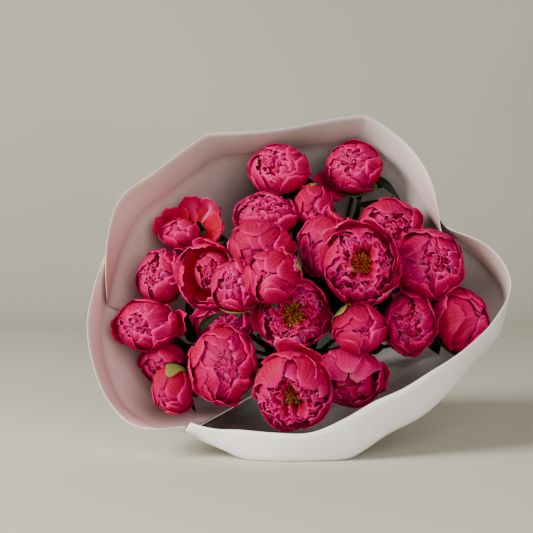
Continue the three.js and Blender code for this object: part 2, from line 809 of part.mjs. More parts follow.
// How far inside the wrap a point lies.
function paperGap(point) {
  const [u, v] = acrossAxis(point);
  const station = new THREE.Vector3().subVectors(point, TIE).dot(AXIS);
  const turn = THREE.MathUtils.radToDeg(Math.atan2(v, u));
  const angle = turn < GIRTH[0][0] ? turn + 360 : turn;
  const after = Math.max(1, GIRTH.findIndex(([at]) => at >= angle));
  const share = (angle - GIRTH[after - 1][0]) / (GIRTH[after][0] - GIRTH[after - 1][0]);
  const widest = mix(GIRTH[after - 1][2], GIRTH[after][2], share);
  const reach = mix(GIRTH[after - 1][1], GIRTH[after][1], share);
  const along = THREE.MathUtils.clamp((station - WAIST) / (reach - WAIST), 0, 1);
  return mix(NECK_RADIUS, widest, along ** bellyAt(angle)) - Math.hypot(u, v);
}

function sheetSolid(sheet) {
  const waves = (angle) => 2.5 * Math.sin(radians(angle * 5));
  const ring = ([angle, rimStation, rimRadius]) => {
    const [, station, radius] = GIRTH.find(([at]) => at === angle);
    const spread = SPREAD.map((share) => [
      WAIST + share * (station - WAIST),
      mix(NECK_RADIUS, radius, share ** bellyAt(angle)) + sheet.layer * LAYER,
    ]);
    const neck = NECK_RADIUS + sheet.layer * NECK_LAYER;
    return [
      [TAIL.station, TAIL.radius + waves(angle) + sheet.layer * LAYER],
      [-WAIST, neck],
      [WAIST, neck],
      ...spread,
      [rimStation, rimRadius],
    ];
  };
  const rings = sheet.rim.map(ring);
  const rows = rings[0].length - 1;
  return solidOf(
    blade(sheet.rim.length - 1, rows, (i, j, side) => {
      const [station, radius] = rings[i][j];
      return paperPoint(sheet.rim[i][0], station, radius, sheet.layer, side);
    }),
  );
}

// Ties

const TIE_SIDES = 20;

function tieSolid({ radius, thickness, width }) {
  const profile = [
    [radius, -width / 2],
    [radius + thickness, -width / 2 + thickness / 2],
    [radius + thickness, width / 2 - thickness / 2],
    [radius, width / 2],
    [radius, -width / 2],
  ].map(([x, y]) => new THREE.Vector2(x, y));
  const ring = new THREE.LatheGeometry(profile, TIE_SIDES);
  const turn = new THREE.Quaternion().setFromUnitVectors(new THREE.Vector3(0, 1, 0), AXIS);
  ring.applyQuaternion(turn).translate(...TIE.toArray());
  return solidOf(ring);
}

// The bunch

const bunch = new THREE.Group();

function add(name, solid, paint) {
  const mesh = new THREE.Mesh(geometryOf(solid), new THREE.MeshStandardMaterial(paint));
  mesh.name = name;
  bunch.add(mesh);
}

const PETAL_PAINT = { color: 0xd81b60, roughness: 0.55, metalness: 0 };
const GREEN_PAINT = { color: 0x3f5f2a, roughness: 0.6, metalness: 0 };
const PAPER_PAINT = { color: 0xf2efe9, roughness: 0.9, metalness: 0 };
const TWINE_PAINT = { color: 0xb49a6a, roughness: 0.9, metalness: 0 };
const RIBBON_PAINT = { color: 0xe9e2d4, roughness: 0.7, metalness: 0 };

const STAMEN_PAINT = { color: 0xb8862f, roughness: 0.8, metalness: 0 };

const paths = stemPaths();
const greenery = HEADS.map(() => []);
const placed = [];
HEADS.forEach((head, i) => greenery[i].push(...sepals(head, i, paths, placed)));
HEADS.forEach((head, i) => {
  if (i % LEAFY_STEMS === 0) greenery[i].push(...leaves(i, paths, placed));
});
HEADS.forEach((head, i) => {
  add("bloom_" + head.name, headSolid(head), PETAL_PAINT);
  if (head.kind === "open") add("stamens_" + head.name, stamensSolid(head), STAMEN_PAINT);
  add("stem_" + head.name, fuse([stemSolid(paths[i]), ...greenery[i]]), GREEN_PAINT);
});
for (const sheet of SHEETS) add(sheet.name, sheetSolid(sheet), PAPER_PAINT);
add("binding", tieSolid(BINDING), TWINE_PAINT);
add("ribbon", tieSolid(RIBBON), RIBBON_PAINT);

// The part's frame has its origin below the middle of the bunch, on the surface.
const box = new THREE.Box3().setFromObject(bunch);
const middle = box.getCenter(new THREE.Vector3());
for (const mesh of bunch.children) mesh.geometry.translate(-middle.x, -middle.y, -box.min.z);

export default bunch;
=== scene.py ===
"""A bunch of pink peonies in a pale paper wrap, lying on its side, dressed for its picture.

Lengths of the bunch are millimetres in its own sizes' frame, as in the part's source, and turn into
metres of the row frame where a piece is placed. The studio is in metres from the start. Petals, sepals,
leaves and paper are curved sheets whose points follow formulas, which edit-mode operators alone can't
shape, so their grids start as primitives and are then moved point by point, thickened by a modifier and
shaded smooth.
"""

import logging
import math
import random
from dataclasses import dataclass
from enum import Enum

import bpy
import numpy as np
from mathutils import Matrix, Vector

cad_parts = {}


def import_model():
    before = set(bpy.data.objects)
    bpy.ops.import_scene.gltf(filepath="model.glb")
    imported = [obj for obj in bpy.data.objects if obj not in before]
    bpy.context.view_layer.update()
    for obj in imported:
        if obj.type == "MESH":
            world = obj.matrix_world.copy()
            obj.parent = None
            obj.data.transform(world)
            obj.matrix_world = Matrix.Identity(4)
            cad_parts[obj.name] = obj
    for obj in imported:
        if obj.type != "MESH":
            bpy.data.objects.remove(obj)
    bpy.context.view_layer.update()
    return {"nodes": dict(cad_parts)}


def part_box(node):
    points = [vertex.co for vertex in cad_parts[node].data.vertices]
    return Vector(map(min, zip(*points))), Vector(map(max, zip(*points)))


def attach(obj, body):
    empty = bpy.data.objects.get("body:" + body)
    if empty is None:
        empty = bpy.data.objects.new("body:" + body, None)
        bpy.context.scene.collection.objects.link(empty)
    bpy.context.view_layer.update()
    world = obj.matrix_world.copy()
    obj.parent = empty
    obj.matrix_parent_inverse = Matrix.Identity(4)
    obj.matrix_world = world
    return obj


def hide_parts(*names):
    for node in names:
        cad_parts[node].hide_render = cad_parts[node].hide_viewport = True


LOG = logging.getLogger("bunch")

Triple = tuple[float, float, float]  # a colour, a place or three sizes

TIE = np.array([0.0, 350.0, 77.0])
MOUTH = np.array([0.0, 0.0, 205.0])
AXIS = (MOUTH - TIE) / np.linalg.norm(MOUTH - TIE)
RIGHT = np.array([1.0, 0.0, 0.0])
ABOVE = np.cross(AXIS, RIGHT)
SURFACE_Z = 3.5
BODY = "root"
PETAL_THICKNESS = 0.28
GREEN_THICKNESS = 0.5
SPIRAL_TURN = 2.39996  # radians from one part of a flower's spiral to the next


class Slot(Enum):
    """The record's material slots."""

    PETALS = "petals"
    STAMENS = "stamens"
    GREENS = "greens"
    PAPER = "paper"
    TWINE = "twine"
    RIBBON = "ribbon"


class Kind(Enum):
    """How far a flower has opened."""

    BUD = "bud"
    GLOBE = "globe"
    CUP = "cup"
    LOOSE = "loose"
    OPEN = "open"


def smooth(x: np.ndarray | float, low: float, high: float) -> np.ndarray:
    """A soft step from 0 at low to 1 at high."""
    t = np.clip((np.asarray(x, float) - low) / (high - low), 0.0, 1.0)
    return t * t * (3 - 2 * t)


def mix(a: np.ndarray | float, b: np.ndarray | float, t: np.ndarray | float) -> np.ndarray:
    """The value t of the way from a to b."""
    return a + (b - a) * np.asarray(t, float)


def wobble(u: np.ndarray, rng: random.Random, waves: float, terms: int = 3) -> np.ndarray:
    """A smooth random curve.

    Args:
        u: Where to read it.
        rng: The seeded source of its phases.
        waves: Roughly how many waves lie between -1 and 1.
        terms: How many waves are summed.

    Returns:
        Values between about -1 and 1, one for each u.
    """
    total = np.zeros_like(u)
    weight = 0.0
    for k in range(terms):
        share = 1.0 / (1 + 0.55 * k)
        pace = waves * math.pi * (0.55 + 0.62 * k) * rng.uniform(0.85, 1.15)
        total += share * np.sin(pace * u + rng.uniform(0, 2 * math.pi))
        weight += share
    return total / weight * 1.35


# Bench work


@dataclass
class Patch:
    """Points with the faces between them, and what their finish reads."""

    points: np.ndarray
    across: np.ndarray
    along: np.ndarray
    faces: np.ndarray
    # pale is the paleness of petal edges, ribs and anthers, and on the paper painted pink light; tone is a
    # petal's depth of colour, and on the paper painted shade.
    pale: np.ndarray
    tone: np.ndarray


class Bench:
    """Modelling steps that more than one piece needs."""

    grids: dict[tuple[int, int], tuple[np.ndarray, np.ndarray, np.ndarray]] = {}
    shift: np.ndarray = np.zeros(3)

    @staticmethod
    def clear() -> None:
        """Nothing is selected afterwards, and no object is being edited."""
        if bpy.context.object and bpy.context.object.mode != "OBJECT":
            bpy.ops.object.mode_set(mode="OBJECT")
        bpy.ops.object.select_all(action="DESELECT")

    @staticmethod
    def hold(piece: bpy.types.Object) -> None:
        """Selects one piece alone and makes it the active one."""
        Bench.clear()
        piece.select_set(True)
        bpy.context.view_layer.objects.active = piece

    @classmethod
    def settle(cls) -> None:
        """Finds how far the row frame lies from the frame of the sizes, from the tie's own node."""
        low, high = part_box("binding")
        cls.shift = np.array((low + high) / 2) * 1000 - TIE

    @classmethod
    def row(cls, points: np.ndarray) -> np.ndarray:
        """Points of the sizes' frame in metres of the row frame."""
        return (np.asarray(points, float) + cls.shift) / 1000

    @classmethod
    def grid(cls, columns: int, rows: int) -> tuple[np.ndarray, np.ndarray, np.ndarray]:
        """A flat primitive grid that every sheet of this fineness is bent from.

        Args:
            columns: Faces across.
            rows: Faces along.

        Returns:
            Across from -1 to 1 and along from 0 to 1 for each point, and the faces.
        """
        if (columns, rows) not in cls.grids:
            cls.clear()
            bpy.ops.mesh.primitive_grid_add(x_subdivisions=columns, y_subdivisions=rows, size=2)
            flat = bpy.context.object
            co = np.array([v.co for v in flat.data.vertices])
            faces = np.array([tuple(p.vertices) for p in flat.data.polygons])
            bpy.ops.object.delete()
            cls.grids[columns, rows] = (co[:, 0], (co[:, 1] + 1) / 2, faces)
        return cls.grids[columns, rows]

    @classmethod
    def sew(cls, name: str, patches: list[Patch]) -> bpy.types.Object:
        """One mesh object of several sheets, with their UVs and attributes.

        Args:
            name: The piece's name.
            patches: The sheets, their points in millimetres of the sizes' frame.

        Returns:
            The new object, at the origin.
        """
        points = cls.row(np.concatenate([p.points for p in patches]))
        starts = np.cumsum([0] + [len(p.points) for p in patches[:-1]])
        faces = np.concatenate([p.faces + s for p, s in zip(patches, starts)])
        mesh = bpy.data.meshes.new(name)
        mesh.from_pydata(points.tolist(), [], faces.tolist())
        loops = faces.ravel()
        across = np.concatenate([p.across for p in patches])
        along = np.concatenate([p.along for p in patches])
        uv = mesh.uv_layers.new(name="UVMap")
        uv.data.foreach_set("uv", np.stack([across[loops] / 2 + 0.5, along[loops]], 1).ravel())
        for label in ("pale", "tone"):
            layer = mesh.attributes.new(label, "FLOAT", "POINT")
            layer.data.foreach_set("value", np.concatenate([getattr(p, label) for p in patches]))
        piece = bpy.data.objects.new(name, mesh)
        bpy.context.scene.collection.objects.link(piece)
        return piece

    @classmethod
    def thicken(cls, piece: bpy.types.Object, thickness: float, lining: int = 0) -> None:
        """Gives a sheet its thickness on its inner side and shades it smooth.

        Args:
            piece: The sheet.
            thickness: In millimetres.
            lining: How many material places further the inner faces' finish is.
        """
        cls.hold(piece)
        wall = piece.modifiers.new("wall", "SOLIDIFY")
        wall.thickness = thickness / 1000
        wall.offset = -1
        wall.material_offset = lining
        bpy.ops.object.modifier_apply(modifier=wall.name)
        bpy.ops.object.shade_smooth()

    @staticmethod
    def join(pieces: list[bpy.types.Object], name: str) -> bpy.types.Object:
        """Joins pieces into one object with this name."""
        Bench.clear()
        for piece in pieces:
            piece.select_set(True)
        bpy.context.view_layer.objects.active = pieces[0]
        if len(pieces) > 1:
            bpy.ops.object.join()
        whole = bpy.context.object
        whole.name = name
        whole.data.name = name
        return whole

    @staticmethod
    def seat(piece: bpy.types.Object, slot: Slot, *nodes: str) -> bpy.types.Object:
        """Hands a finished piece over: its body and the nodes that it stands for."""
        if nodes:
            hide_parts(*nodes)
        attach(piece, BODY)
        LOG.info("%s: %d faces", piece.name, len(piece.data.polygons))
        return piece


# Finishes


class Nodes:
    """A new material's node tree, with short ways to add to it."""

    def __init__(self, name: str, roughness: float) -> None:
        """Starts a material with one shader.

        Args:
            name: The material's name.
            roughness: The shader's roughness.
        """
        self.material = bpy.data.materials.new(name)
        self.material.use_nodes = True
        self.tree = self.material.node_tree
        self.shader = self.tree.nodes["Principled BSDF"]
        self.shader.inputs["Roughness"].default_value = roughness

    def add(self, kind: str, **values: object) -> bpy.types.Node:
        """Adds a node and sets its fields and sockets by name."""
        node = self.tree.nodes.new(kind)
        for key, value in values.items():
            label = key.replace("_", " ").title()
            if hasattr(node, key):
                setattr(node, key, value)
            else:
                node.inputs[label].default_value = value
        return node

    def link(self, source: bpy.types.NodeSocket, target: bpy.types.NodeSocket) -> None:
        """Joins two sockets."""
        self.tree.links.new(source, target)

    def attribute(self, name: str) -> bpy.types.NodeSocket:
        """The value that each point of the piece carries under a name."""
        return self.add("ShaderNodeAttribute", attribute_name=name).outputs["Fac"]

    def space(self, socket: str, scale: Triple) -> bpy.types.NodeSocket:
        """Object coordinates or the piece's UV, scaled."""
        where = self.add("ShaderNodeTexCoord")
        mapping = self.add("ShaderNodeMapping")
        mapping.inputs["Scale"].default_value = scale
        self.link(where.outputs[socket], mapping.inputs["Vector"])
        return mapping.outputs["Vector"]

    def noise(self, vector: bpy.types.NodeSocket, scale: float, detail: float = 3.0) -> bpy.types.NodeSocket:
        """Soft random values between 0 and 1."""
        node = self.add("ShaderNodeTexNoise", scale=scale, detail=detail)
        self.link(vector, node.inputs["Vector"])
        return node.outputs["Fac"]

    def scaled(
        self, value: bpy.types.NodeSocket, low: float, high: float, start: float, end: float
    ) -> bpy.types.NodeSocket:
        """A value between low and high, spread over start to end."""
        node = self.add("ShaderNodeMapRange")
        node.inputs["From Min"].default_value = low
        node.inputs["From Max"].default_value = high
        node.inputs["To Min"].default_value = start
        node.inputs["To Max"].default_value = end
        self.link(value, node.inputs["Value"])
        return node.outputs["Result"]

    def blend(
        self,
        factor: bpy.types.NodeSocket,
        first: Triple | bpy.types.NodeSocket,
        second: Triple | bpy.types.NodeSocket,
    ) -> bpy.types.NodeSocket:
        """Two colours, or colour sockets, mixed by a factor."""
        node = self.tree.nodes.new("ShaderNodeMix")
        node.data_type = "RGBA"
        self.link(factor, node.inputs["Factor"])
        for label, colour in (("A", first), ("B", second)):
            socket = next(s for s in node.inputs if s.name == label and s.type == "RGBA")
            if isinstance(colour, bpy.types.NodeSocket):
                self.link(colour, socket)
            else:
                socket.default_value = (*colour, 1.0)
        return next(s for s in node.outputs if s.type == "RGBA")

    def bump(
        self, height: bpy.types.NodeSocket, depth: float, below: bpy.types.NodeSocket | None = None
    ) -> bpy.types.NodeSocket:
        """Relief of a depth in metres from a height, on top of the relief below it."""
        node = self.add("ShaderNodeBump")
        node.inputs["Strength"].default_value = 1.0
        node.inputs["Distance"].default_value = depth
        self.link(height, node.inputs["Height"])
        if below is not None:
            self.link(below, node.inputs["Normal"])
        self.link(node.outputs["Normal"], self.shader.inputs["Normal"])
        return node.outputs["Normal"]

    def colour(self, socket: bpy.types.NodeSocket) -> None:
        """Gives the shader its colour."""
        self.link(socket, self.shader.inputs["Base Color"])


@dataclass(frozen=True)
class PetalFinish:
    """Satin petal: deep at the foot, pale along the free edge, with fine veins along it."""

    name: str
    deep: Triple
    body: Triple
    edge: Triple
    streak: Triple = (0.90, 0.38, 0.42)
    roughness: float = 0.46

    def material(self) -> bpy.types.Material:
        """Builds the material."""
        n = Nodes(self.name, self.roughness)
        veins = n.noise(n.space("UV", (34.0, 2.0, 1.0)), 1.0, 4.0)
        blotches = n.noise(n.space("Object", (1.0, 1.0, 1.0)), 70.0, 2.0)
        tone = n.blend(n.attribute("tone"), self.deep, self.body)
        soft = n.scaled(veins, 0.38, 0.66, -0.2, 0.2)
        reach = n.add("ShaderNodeMath", operation="ADD")
        reach.use_clamp = True
        n.link(n.attribute("pale"), reach.inputs[0])
        n.link(soft, reach.inputs[1])
        pale = n.blend(reach.outputs["Value"], tone, self.edge)
        pale = n.blend(n.scaled(n.attribute("pale"), 1.0, 2.0, 0.0, 1.0), pale, self.streak)
        n.colour(n.blend(n.scaled(blotches, 0.4, 0.7, 0.0, 0.22), pale, self.deep))
        fine = n.bump(veins, 0.0009)
        n.bump(n.noise(n.space("Object", (1.0, 1.0, 1.0)), 260.0, 2.0), 0.0002, fine)
        n.shader.inputs["Specular IOR Level"].default_value = 0.04
        n.shader.inputs["Subsurface Weight"].default_value = 0.6
        n.shader.inputs["Subsurface Radius"].default_value = (0.8, 0.12, 0.42)
        n.shader.inputs["Subsurface Scale"].default_value = 0.006
        return n.material


@dataclass(frozen=True)
class LeafFinish:
    """Leaf, sepal or stem skin: waxy, darker between fine ribs."""

    name: str
    dark: Triple
    light: Triple
    ribs: Triple
    roughness: float = 0.38

    def material(self) -> bpy.types.Material:
        """Builds the material."""
        n = Nodes(self.name, self.roughness)
        mottle = n.noise(n.space("Object", (1.0, 1.0, 1.0)), 45.0, 4.0)
        base = n.blend(n.scaled(mottle, 0.35, 0.68, 0.0, 0.8), self.dark, self.light)
        n.colour(n.blend(n.attribute("pale"), base, self.ribs))
        n.bump(n.noise(n.space("Object", (1.0, 1.0, 1.0)), 320.0, 3.0), 0.0003)
        n.shader.inputs["Specular IOR Level"].default_value = 0.12
        return n.material


@dataclass(frozen=True)
class PaperFinish:
    """Uncoated wrapping paper, with painted shade where the flowers shade it and painted pink light from the
    flowers.
    """

    name: str
    plain: Triple
    shade: Triple
    painted_pink_light: Triple

    def material(self) -> bpy.types.Material:
        """Builds the material."""
        n = Nodes(self.name, 0.72)
        fibres = n.noise(n.space("Object", (1.0, 1.0, 1.0)), 900.0, 5.0)
        clouds = n.noise(n.space("Object", (1.0, 1.0, 1.0)), 9.0, 3.0)
        # The tone attribute mixes in painted shade, and the pale attribute painted pink light from the
        # flowers.
        base = n.blend(n.attribute("tone"), self.plain, self.shade)
        base = n.blend(n.attribute("pale"), base, self.painted_pink_light)
        dull = tuple(0.9 * c for c in self.plain)
        clouded = n.blend(n.scaled(clouds, 0.3, 0.75, 0.0, 0.25), base, dull)
        n.colour(n.blend(n.scaled(fibres, 0.5, 0.9, 0.0, 0.2), clouded, (0.72, 0.69, 0.66)))
        broad = n.bump(clouds, 0.0025)
        n.bump(fibres, 0.00012, broad)
        n.shader.inputs["Specular IOR Level"].default_value = 0.3
        return n.material


@dataclass(frozen=True)
class FibreFinish:
    """Twine, ribbon or stamens: matt fibres that run round the piece."""

    name: str
    dark: Triple
    light: Triple
    pace: Triple
    relief: float
    roughness: float

    def material(self) -> bpy.types.Material:
        """Builds the material."""
        n = Nodes(self.name, self.roughness)
        strands = n.noise(n.space("UV", self.pace), 1.0, 3.0)
        base = n.blend(n.scaled(strands, 0.35, 0.65, 0.0, 1.0), self.dark, self.light)
        n.colour(n.blend(n.attribute("pale"), base, self.light))
        n.bump(strands, self.relief)
        return n.material


# Wrap


NECK = 24.5  # the inner sheet's radius at the tie
WAIST = 9.0  # how far the sheets stay this narrow, before and behind the tie
KEPT_FROM = 60.0  # how far before the tie things start to be kept inside the paper
KEPT_PAST = 15.0  # how far past the widest place of the paper they still are

# Angle about the axis, how far along it the sheets are widest there, and the inner sheet's radius
GIRTH = np.array(
    [
        [-149, 305, 250], [-140, 312, 238], [-130, 325, 214], [-122, 330, 207], [-113, 335, 205],
        [-100, 340, 204], [-87, 340, 201], [-72, 340, 201], [-58, 338, 195], [-46, 332, 203],
        [-33, 325, 212], [-20, 312, 226], [-8, 302, 252], [3, 300, 258], [14, 300, 236],
        [25, 300, 212], [34, 300, 210], [43, 300, 219], [52, 300, 228], [61, 300, 236],
        [70, 300, 241], [80, 300, 227], [90, 300, 219], [99, 300, 216], [109, 300, 221],
        [118, 300, 230], [128, 300, 228], [139, 300, 231], [150, 300, 241], [161, 300, 241],
        [171, 300, 241], [180, 300, 244], [188, 300, 249], [199, 302, 252], [211, 305, 250],
        [220, 312, 238], [230, 325, 214],
    ],
    float,
)


def on_table(table: np.ndarray, column: int, at: np.ndarray, corners: tuple[float, ...]) -> np.ndarray:
    """A smooth curve through a table's points that keeps its corners.

    Args:
        table: Rows of an angle and its values.
        column: Which value.
        at: The angles to read.
        corners: Angles where the curve may break.

    Returns:
        One value for each angle.
    """
    x, y = table[:, 0], table[:, column]
    slope = np.diff(y) / np.diff(x)
    k = np.clip(np.searchsorted(x, at, side="right") - 1, 0, len(x) - 2)
    left = np.concatenate([[slope[0]], slope])
    right = np.concatenate([slope, [slope[-1]]])
    mean = (left + right) / 2
    sharp = np.isin(x, corners)
    start = np.where(sharp, right, mean)[k]
    end = np.where(sharp, left, mean)[k + 1]
    h = x[k + 1] - x[k]
    t = (at - x[k]) / h
    return (
        (2 * t**3 - 3 * t**2 + 1) * y[k]
        + (t**3 - 2 * t**2 + t) * h * start
        + (3 * t**2 - 2 * t**3) * y[k + 1]
        + (t**3 - t**2) * h * end
    )


def belly(angle: np.ndarray) -> np.ndarray:
    """The power by which the paper rounds out on its way, fuller underneath."""
    low = smooth(angle, -130, -122) * (1 - smooth(angle, -72, -58))
    return mix(0.8, 0.68, low)


def within_wrap(points: np.ndarray, spare: float = 1.5) -> np.ndarray:
    """Draws points in that would stand through the paper.

    Args:
        points: Points in the bunch's own frame, in millimetres.
        spare: How far inside the paper they stay.

    Returns:
        The points, with each one inside the wrap.
    """
    off = points - TIE
    station, side, up = off @ AXIS, off @ RIGHT, off @ ABOVE
    radius = np.hypot(side, up)
    angle = np.degrees(np.arctan2(up, side))
    angle = np.where(angle < GIRTH[0, 0], angle + 360, angle)
    widest, girth = on_table(GIRTH, 1, angle, ()), on_table(GIRTH, 2, angle, ())
    share = np.clip((station - WAIST) / (widest - WAIST), 1e-6, 1)
    limit = NECK + (girth - NECK) * share ** belly(angle) - spare
    ratio = np.where(radius > limit, limit / np.maximum(radius, 1e-6), 1.0)
    bound = (station > KEPT_FROM) & (station < widest + KEPT_PAST)
    ratio = np.where(bound, ratio, 1.0)
    return TIE + np.outer(station, AXIS) + np.outer(ratio * side, RIGHT) + np.outer(ratio * up, ABOVE)


# Flowers


@dataclass(frozen=True)
class Layer:
    """One ring of petals. Radii are shares of the head's half sizes, and angles are degrees."""

    petals: int
    radius: float
    reach: float
    half: float
    lean: float = 0.06
    flare: float = 0.0
    ruffle: float = 0.0
    waves: float = 2.5
    notch: float = 0.0
    pale: float = 0.25
    start: float = 0.0
    ball: bool = False
    foot: float = 0.12
    uneven: float = 1.0
    round: float = 0.24
    streak: float = 0.0


LAYERS: dict[Kind, list[Layer]] = {
    Kind.BUD: [
        Layer(4, 0.985, 148, 52, 0.05, notch=3, pale=0.1, uneven=2.4, round=0.32),
        Layer(3, 0.95, 164, 56, 0.05, notch=4, pale=0.2, start=38, uneven=3, round=0.32),
        Layer(3, 0.9, 170, 58, 0.05, notch=6, pale=0.35, start=70, ruffle=0.02, uneven=3, round=0.32),
        Layer(3, 0.82, 174, 60, 0.05, notch=6, pale=0.5, start=20, ruffle=0.03, uneven=3),
    ],
    Kind.GLOBE: [
        Layer(5, 0.99, 123, 44, 0.055, notch=3, pale=0.1, uneven=3),
        Layer(4, 0.96, 138, 50, 0.05, ruffle=0.01, notch=4, pale=0.2, start=33, uneven=3.2),
        Layer(4, 0.92, 148, 50, 0.05, ruffle=0.02, notch=6, waves=3, pale=0.35, start=10, uneven=3.4),
        Layer(5, 0.88, 154, 42, 0.04, ruffle=0.06, notch=10, waves=5, pale=0.65, start=40, uneven=4),
        Layer(5, 0.82, 157, 40, 0.04, ruffle=0.1, notch=12, waves=6, pale=0.9, start=12, uneven=4),
    ],
    Kind.CUP: [
        Layer(5, 0.99, 118, 44, 0.06, flare=0.01, ruffle=0.012, notch=5, pale=0.25, uneven=2.8),
        Layer(4, 0.91, 127, 50, 0.05, ruffle=0.025, notch=6, waves=4, pale=0.4, start=36, uneven=3),
        Layer(3, 0.68, 138, 58, 0.05, ruffle=0.02, notch=6, pale=0.35, start=15, ball=True, uneven=2.6),
        Layer(
            4, 0.61, 146, 52, 0.05, ruffle=0.07, notch=11, waves=5, pale=0.6, start=55, ball=True, uneven=3
        ),
    ],
    Kind.LOOSE: [
        Layer(5, 0.97, 106, 42, 0.06, flare=0.04, notch=4, pale=0.2, uneven=3),
        Layer(3, 0.88, 119, 54, 0.06, ruffle=0.015, notch=5, pale=0.25, start=30, uneven=3),
        Layer(3, 0.68, 146, 56, 0.05, ruffle=0.01, notch=5, pale=0.25, start=10, ball=True, uneven=2.6),
        Layer(3, 0.63, 162, 58, 0.05, ruffle=0.02, notch=7, waves=3, pale=0.4, start=50, ball=True, uneven=3),
        Layer(3, 0.56, 170, 60, 0.04, ruffle=0.05, notch=8, waves=4, pale=0.5, start=10, ball=True, uneven=3),
    ],
    Kind.OPEN: [
        Layer(5, 0.99, 112, 45, 0.06, flare=0.03, ruffle=0.015, notch=6, pale=0.2, uneven=3.4),
        Layer(5, 0.92, 124, 45, 0.05, ruffle=0.04, notch=9, waves=3, pale=0.35, start=30, uneven=4),
        Layer(5, 0.84, 131, 42, 0.05, ruffle=0.07, notch=12, waves=4, pale=0.65, start=5, uneven=4.6),
        Layer(5, 0.76, 130, 34, 0.05, ruffle=0.14, notch=17, waves=5, pale=0.85, start=22, uneven=8),
        Layer(6, 0.66, 120, 25, 0.05, ruffle=0.16, notch=18, waves=5, pale=0.8, start=0, uneven=9),
    ],
}


@dataclass(frozen=True)
class Frills:
    """Small crumpled petals that stand on end in the middle of a flower."""

    count: int
    near: float
    far: float
    low: float
    high: float
    half: float
    lean: float = 0.2
    ball: bool = False


FRILLS: dict[Kind, Frills] = {
    Kind.BUD: Frills(3, 2, 9, 0.66, 0.86, 15),
    Kind.GLOBE: Frills(14, 3, 31, 0.68, 0.93, 22),
    Kind.CUP: Frills(10, 3, 36, 0.46, 0.63, 27, ball=True),
    Kind.LOOSE: Frills(4, 2, 14, 0.42, 0.58, 18, ball=True),
    Kind.OPEN: Frills(26, 25, 56, 0.46, 0.86, 19, lean=0.04),
}

CORES: dict[Kind, Triple] = {
    Kind.BUD: (0.66, 0.66, 0.0),
    Kind.GLOBE: (0.7, 0.72, -0.01),
    Kind.CUP: (0.46, 0.5, 0.0),
    Kind.LOOSE: (0.46, 0.5, 0.0),
    Kind.OPEN: (0.36, 0.3, -0.2),
}


@dataclass(frozen=True)
class Loose:
    """A single petal listed on its own, which may stand away from its flower."""

    around: float
    half: float
    reach: float
    radius: float
    flare: float
    pale: float = 0.35
    foot: float = 0.3
    streak: float = 0.0


@dataclass(frozen=True)
class Sepal:
    """A green scale that lies against a flower."""

    around: float
    half: float
    reach: float
    stand: float = 0.0
    yellow: float = 0.5


@dataclass(frozen=True)
class Ball:
    """The closed middle of a cupped or loose flower, its place in shares of the head's half sizes."""

    shift: tuple[float, float] = (0.0, 0.0)
    rise: float = 0.0
    size: float = 1.0


